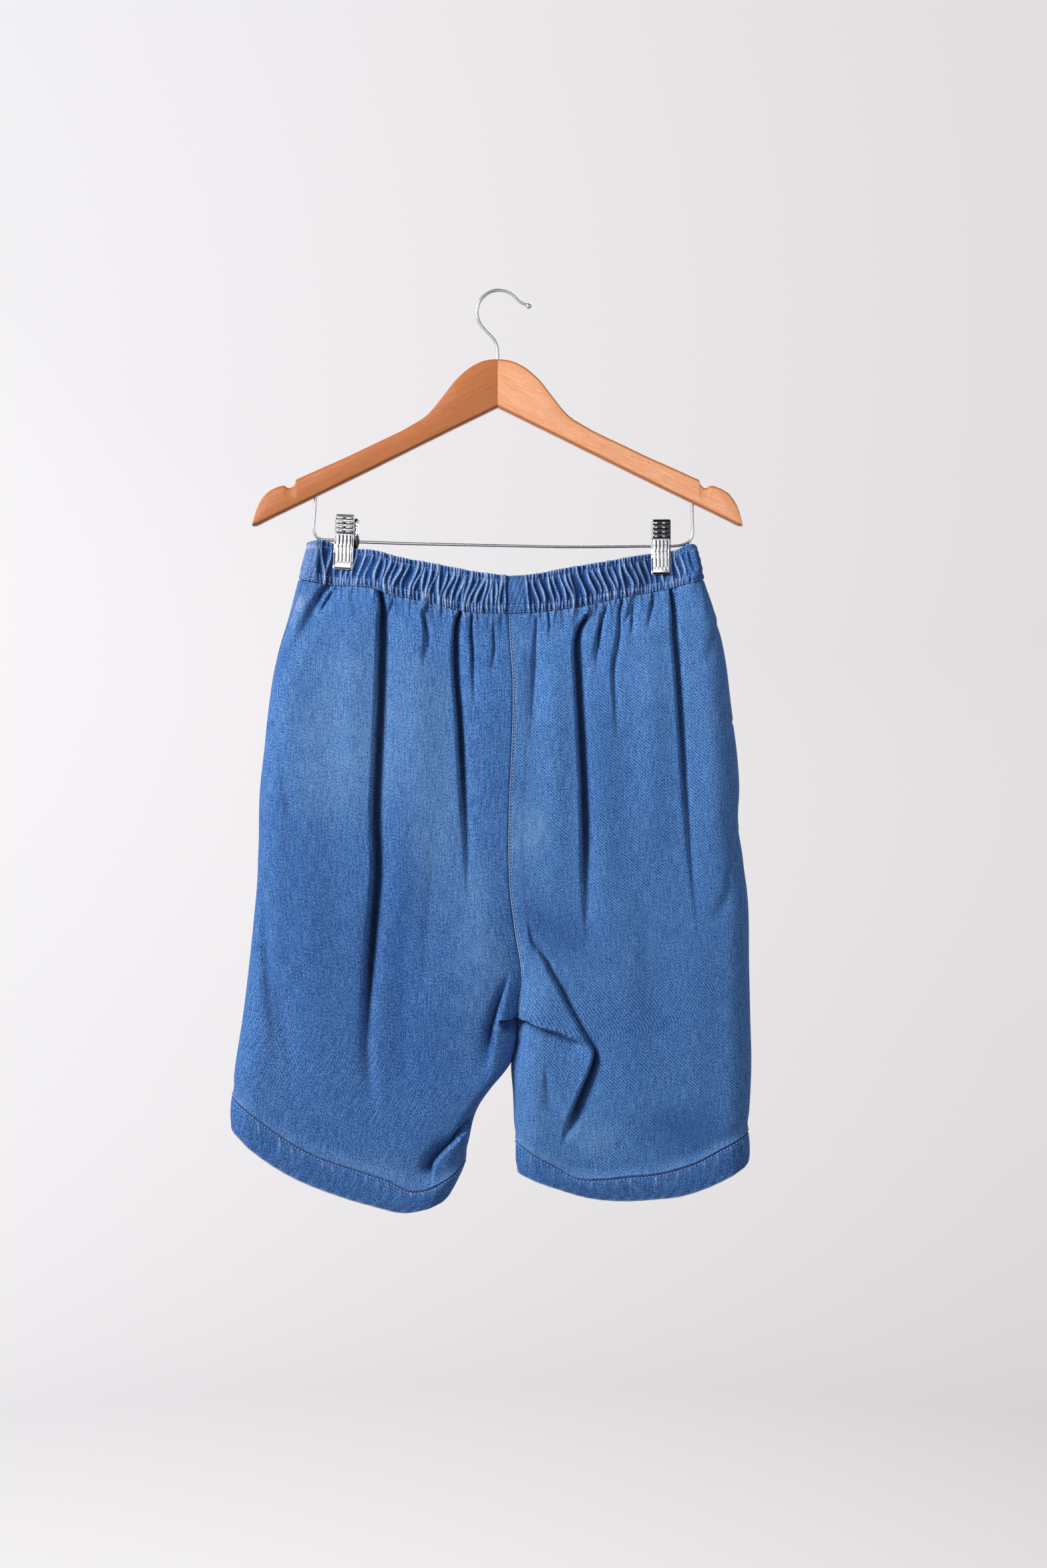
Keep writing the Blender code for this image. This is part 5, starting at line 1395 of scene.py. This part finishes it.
STEEL_COLOUR = (0.50, 0.50, 0.52)
CHROME_COLOUR = (0.82, 0.82, 0.84)
PLASTIC_COLOUR = (0.012, 0.012, 0.014)
METAL_PAINTED_DARK = (0.035, 0.035, 0.040)


def make_metal(name, tint, rough, spots):
    """Plated metal with faint handling marks, painted dark where its note says, to stand for dark
    reflections and shade in its hollows and on its edges.
    """
    made = new_finish(name)
    marks = noise(Value.node("TexCoord", {}, {}, 3), spots, 3.0, 0.6)
    dull = note_of("dull")[0]
    shade = colours(marks.between(0.35, 0.75) * 0.12, tint, tuple(c * 0.8 for c in tint))
    shade = colours(dull.between(0.0, 1.0), shade, METAL_PAINTED_DARK)
    return finish_off(made, {"Metallic": 1.0},
                      {"Base Color": shade, "Roughness": rough + marks.between(0.4, 0.8) * 0.06
                       + dull * 0.15})


STEEL = make_metal("plated_steel", STEEL_COLOUR, 0.26, 260.0)
CHROME = make_metal("chrome_plate", CHROME_COLOUR, 0.09, 180.0)
made = new_finish("black_plastic")
texture = noise(Value.node("TexCoord", {}, {}, 3), 1800.0, 3.0)
PLASTIC = finish_off(made, {"Base Color": (*PLASTIC_COLOUR, 1.0)},
                     {"Roughness": 0.42 + texture * 0.2, "Normal": bumps(texture, 0.2, 0.0002)})


def tube(name, line, radius, finish, stands_for, sides=14):
    """A round wire along points in mm; radius is one number or one for each point."""
    line = np.asarray(line, float)
    course = unit(np.gradient(line, axis=0))
    guide = np.array([0.0, 1.0, 0.0]) if abs(course[:, 1]).max() < 0.9 else np.array([1.0, 0, 0])
    beside = unit(np.cross(course, guide))
    rings = rings_about(line, beside, np.cross(beside, course),
                        np.broadcast_to(np.asarray(radius, float), len(line)), sides)
    return add_piece(name, rings, ring_faces(rings), finish, stands_for, sharp=60.0)


HOOK_WIRE = 1.5
HOOK_RADIUS = 20.4
HOOK_X = 1.2
HOOK_TIP, HOOK_LIP = np.array([26.2, 0.0, -11.9]), np.array([20.6, 0.0, -9.3])
BALL_RADIUS = 2.7
HOOK_Z = HOOK_WIRE - HOOK_RADIUS
hook_line = [HOOK_TIP, HOOK_LIP]
hook_line += [(HOOK_X + HOOK_RADIUS * cos(radians(angle)), 0.0,
               HOOK_Z + HOOK_RADIUS * sin(radians(angle))) for angle in range(50, 226, 25)]
hook_line += [(-9.1, 0, -37.8), (-4.6, 0, -42.6), (-1.6, 0, -48.0), (-0.2, 0, -55.0),
              (0, 0, -62.6)]
tube("hook_wire", smooth_curve(hook_line)(np.linspace(0, 1, 150)), HOOK_WIRE, STEEL,
     ["hook"], 18)

pointing = unit(HOOK_TIP - HOOK_LIP)
angles = np.radians(np.linspace(4.0, 176.0, 18))
ball_line = HOOK_TIP + pointing * (BALL_RADIUS * (1.0 - np.cos(angles)))[:, None]
ball_line = np.concatenate([HOOK_TIP + pointing * np.array([[-1.2], [-0.4]]), ball_line])
ball_size = np.concatenate([[1.62, 1.62], np.maximum(BALL_RADIUS * np.sin(angles), 0.25)])
ball_size[2:5] = np.maximum(ball_size[2:5], 1.6)
tube("hook_ball_tip", ball_line, ball_size, STEEL, ["hook_ball"], 20)

BAR_WIRE = 1.4
BAR_LINE = [(-166.3, -18.64, -190.6), (-167.6, CLOTH_Y, -211), (-168.0, CLOTH_Y, -222),
            (-166.0, CLOTH_Y, -228), (-160.5, CLOTH_Y, -230.8), (-149.0, CLOTH_Y, -231.6),
            (-125.0, CLOTH_Y, -233.2), (-60.0, CLOTH_Y, -235.2), (0.0, CLOTH_Y, -236.4),
            (64.0, CLOTH_Y, -237.6), (140.0, CLOTH_Y, -237.0), (165.0, CLOTH_Y, -236.4),
            (174.6, CLOTH_Y, -233.4), (178.4, CLOTH_Y, -226.5), (178.2, CLOTH_Y, -214),
            (177.8, -19.9, -196.4)]
tube("bar_wire", smooth_curve(BAR_LINE)(np.linspace(0, 1, 240)), BAR_WIRE, STEEL,
     ["bar"], 16)

Plate = namedtuple("Plate", "height offset")
CLIP_TILT = {"left": 2.9, "right": 0.0}         # degrees
CLIP_YAW = {"left": 0.0, "right": -4.0}         # of the front plate
EDGE_PAINTED_DARK = {"left": 0.12, "right": 0.85}       # of the bevelled edges and the finger grips
CLIP_Z = {"left": -232.2, "right": -236.9}      # the bar's middle in each clip
PLATE_METAL = 0.9
PLATE_PROFILE = table(Plate, (-26.5, 6.9), (-23, 6.5), (-12, 6.5), (-8, 6.2), (-3, 5.6), (3, 5.9),
                      (10, 7.9), (19, 9.2), (23.5, 9.3))
PLATE_HALF, PLATE_TOP, PLATE_FOOT = 8.8, 23.5, -26.5
PLATE_MESH = {"front": (110, 72), "rear": (50, 30)}     # points up and across
REAR_SHIFT = {"left": 3.4, "right": 0.0}        # the left clip's rear plate shows past its front
PAD_HALF, PAD_HIGH, PAD_Z = 7.2, 6.5, -17.5     # a jaw pad's half width, half height, middle
GROOVES = (-4.25, -0.9, 2.6, 5.9)               # between upright ribs, across the plate
GROOVE_SPAN = (-22.0, 5.0)
GROOVE_HALF = 0.55
BEVEL = 2.2               # width of the sloping rim
BARS = (20.0, 15.9, 11.8, 7.9)                  # pressed finger grips, two on each level
BAR_PLACES, BAR_SIZE = (-3.5, 3.7), (3.3, 1.25)
SPRING_RADIUS, SPRING_WIRE, SPRING_TURNS = 3.8, 0.6, 3
SLEEVE_REACH = 6.8
COLLAR_AT, COLLAR_RISE = 11.6, 4.6              # the stop beside the left clip
BAR_SLOPE = {"left": 3.8, "right": -1.2}        # degrees, where each clip sits


def plate_rise(across, height, edge_painted_dark):
    """The pressing of a clip's face, and how dark it is painted to stand for reflection and shade:
    ribs with grooves between them below, finger grips above, a bevelled rim."""
    ends = ease((height - GROOVE_SPAN[0]) / 2.5) * ease((GROOVE_SPAN[1] - height) / 1.0)
    grooves = ends * sum(bell(across - place, GROOVE_HALF) for place in GROOVES)
    rise = 0.35 * ends - 1.0 * grooves
    # Painted shade and dark reflection in the grooves.
    dull = 0.95 * grooves * mix(0.75, 1.0, ease((height + 15.0) / 20.0))
    # Painted dark reflection over the head of the plate, most on the right clip.
    head = ease((height - 5.5) / 1.0)
    dull = dull + head * (0.15 + 0.75 * edge_painted_dark)
    for level in BARS:
        for centre in BAR_PLACES:
            oval = ((abs(across - centre) / BAR_SIZE[0]) ** 4
                    + (abs(height - level) / BAR_SIZE[1]) ** 4)
            rise += 0.9 * np.exp(-oval)
            # A painted dark ring under each grip, and a painted highlight on its left half.
            edge = bell(oval ** 0.25 - 1.05, 0.2) * (height < level + 0.7)
            dull = dull + 0.7 * edge - 0.45 * edge_painted_dark * np.exp(-oval * 1.5) * (across < centre)
    to_side = PLATE_HALF - abs(across)
    to_end = np.minimum(height - PLATE_FOOT, PLATE_TOP - height)
    rim = np.maximum(1.0 - ease(to_side / BEVEL), 1.0 - ease(to_end / BEVEL))
    # Painted dark reflection on the right bevel and the ends, and a painted bright left bevel.
    dark_rim = np.maximum((1.0 - ease((to_side - 0.3) / 1.2)) * (across > 0),
                          1.0 - ease((to_end - 1.5) / 1.0))
    dull = mix(np.clip(dull, 0.0, 1.0), 1.0, edge_painted_dark * dark_rim)
    dull = mix(dull, 0.0, (1.0 - ease((to_side - 1.2) / 1.0)) * (across < 0))
    return rise - 1.5 * rim, dull


def turned(degrees, axis):
    """The turn by an angle about an axis, for rows of points."""
    return np.array(Matrix.Rotation(radians(degrees), 3, axis)).T


for side, clip_x in CLIP_X.items():
    pivot = np.array([clip_x, CLOTH_Y, CLIP_Z[side]])
    tilt = turned(CLIP_TILT[side], "Y")
    for layer, front in (("front", -1.0), ("rear", 1.0)):
        points_up, points_across = PLATE_MESH[layer]
        across, height = np.broadcast_arrays(
            PLATE_HALF * np.linspace(-1.0, 1.0, points_across)[None],
            np.linspace(PLATE_FOOT, PLATE_TOP, points_up)[:, None])
        pressed, dull = plate_rise(across, height, EDGE_PAINTED_DARK[side])
        corner = np.maximum(abs(height - (PLATE_TOP + PLATE_FOOT) / 2) - 23.8, 0.0) / 1.2
        narrow = 1.0 - 0.12 * np.clip(corner, 0, 1) ** 2
        offset = column(PLATE_PROFILE, "offset", height)
        away = offset + pressed + 0.15 * np.cos(across / PLATE_HALF * 1.5)
        outer = np.stack([across * narrow, front * away, height], -1)
        inner = np.stack([across * narrow * 0.95, front * (away - PLATE_METAL), height], -1)
        rings = np.concatenate([outer, inner[:, ::-1]], 1)
        rings = (rings @ turned(CLIP_YAW[side], "Z") if layer == "front" else rings) @ tilt + pivot
        if layer == "rear":
            rings = rings + REAR_SHIFT[side] * np.array([1.0, 0.0, -0.6])
        # The plate's inner face is painted darker too.
        dull = np.concatenate([dull, np.full(dull.shape, 0.3)], 1)
        add_piece(f"plate_{layer}_{side}", rings, ring_faces(rings), CHROME,
                  [f"clip_{side}_{layer}_plate"], {"dull": stacked(dull, dull, dull)})

        turn = np.linspace(0.0, 2 * pi, 48, endpoint=False)
        body, upright = (np.sign(wave) * abs(wave) ** 0.25
                         for wave in (np.cos(turn), np.sin(turn)))
        levels = np.array([0.0, 0.12, 0.3, 0.8, 0.95, 1.0])
        shrink = np.array([0.93, 0.98, 1.0, 1.0, 0.985, 0.94])
        grooves = 1.0 - 0.03 * np.cos(upright * 18.0)
        rings = stacked(PAD_HALF * body[None] * shrink[:, None] * grooves,
                        front * (5.3 - 1.4 * levels)[:, None],
                        PAD_Z + PAD_HIGH * upright[None] * shrink[:, None]) @ tilt + pivot
        add_piece(f"jaw_pad_{layer}_{side}", rings, ring_faces(rings), PLASTIC,
                  [f"clip_{side}_{layer}_pad"])

    reach = np.linspace(-SLEEVE_REACH, COLLAR_AT + 2.0 if side == "left" else SLEEVE_REACH, 48)
    line = stacked(reach, 0.0, 0.0) @ turned(BAR_SLOPE[side], "Y") + pivot
    collar = 2.3 + 0.2 * bell(abs(reach) - SLEEVE_REACH + 0.8, 0.7)
    if side == "left":
        collar = collar + COLLAR_RISE * np.exp(-((reach - COLLAR_AT) / 1.3) ** 4)
    tube(f"sleeve_{side}", line, collar, PLASTIC, [f"clip_{side}_sleeve"], 24)
    turns = np.linspace(0.0, SPRING_TURNS, SPRING_TURNS * 28 + 1)
    coil = np.stack([-4.5 + 9.0 * turns / SPRING_TURNS, SPRING_RADIUS * np.cos(2 * pi * turns),
                     SPRING_RADIUS * np.sin(2 * pi * turns)], -1) + pivot
    tube(f"spring_{side}", coil, SPRING_WIRE, STEEL, [f"clip_{side}_spring"], 8)
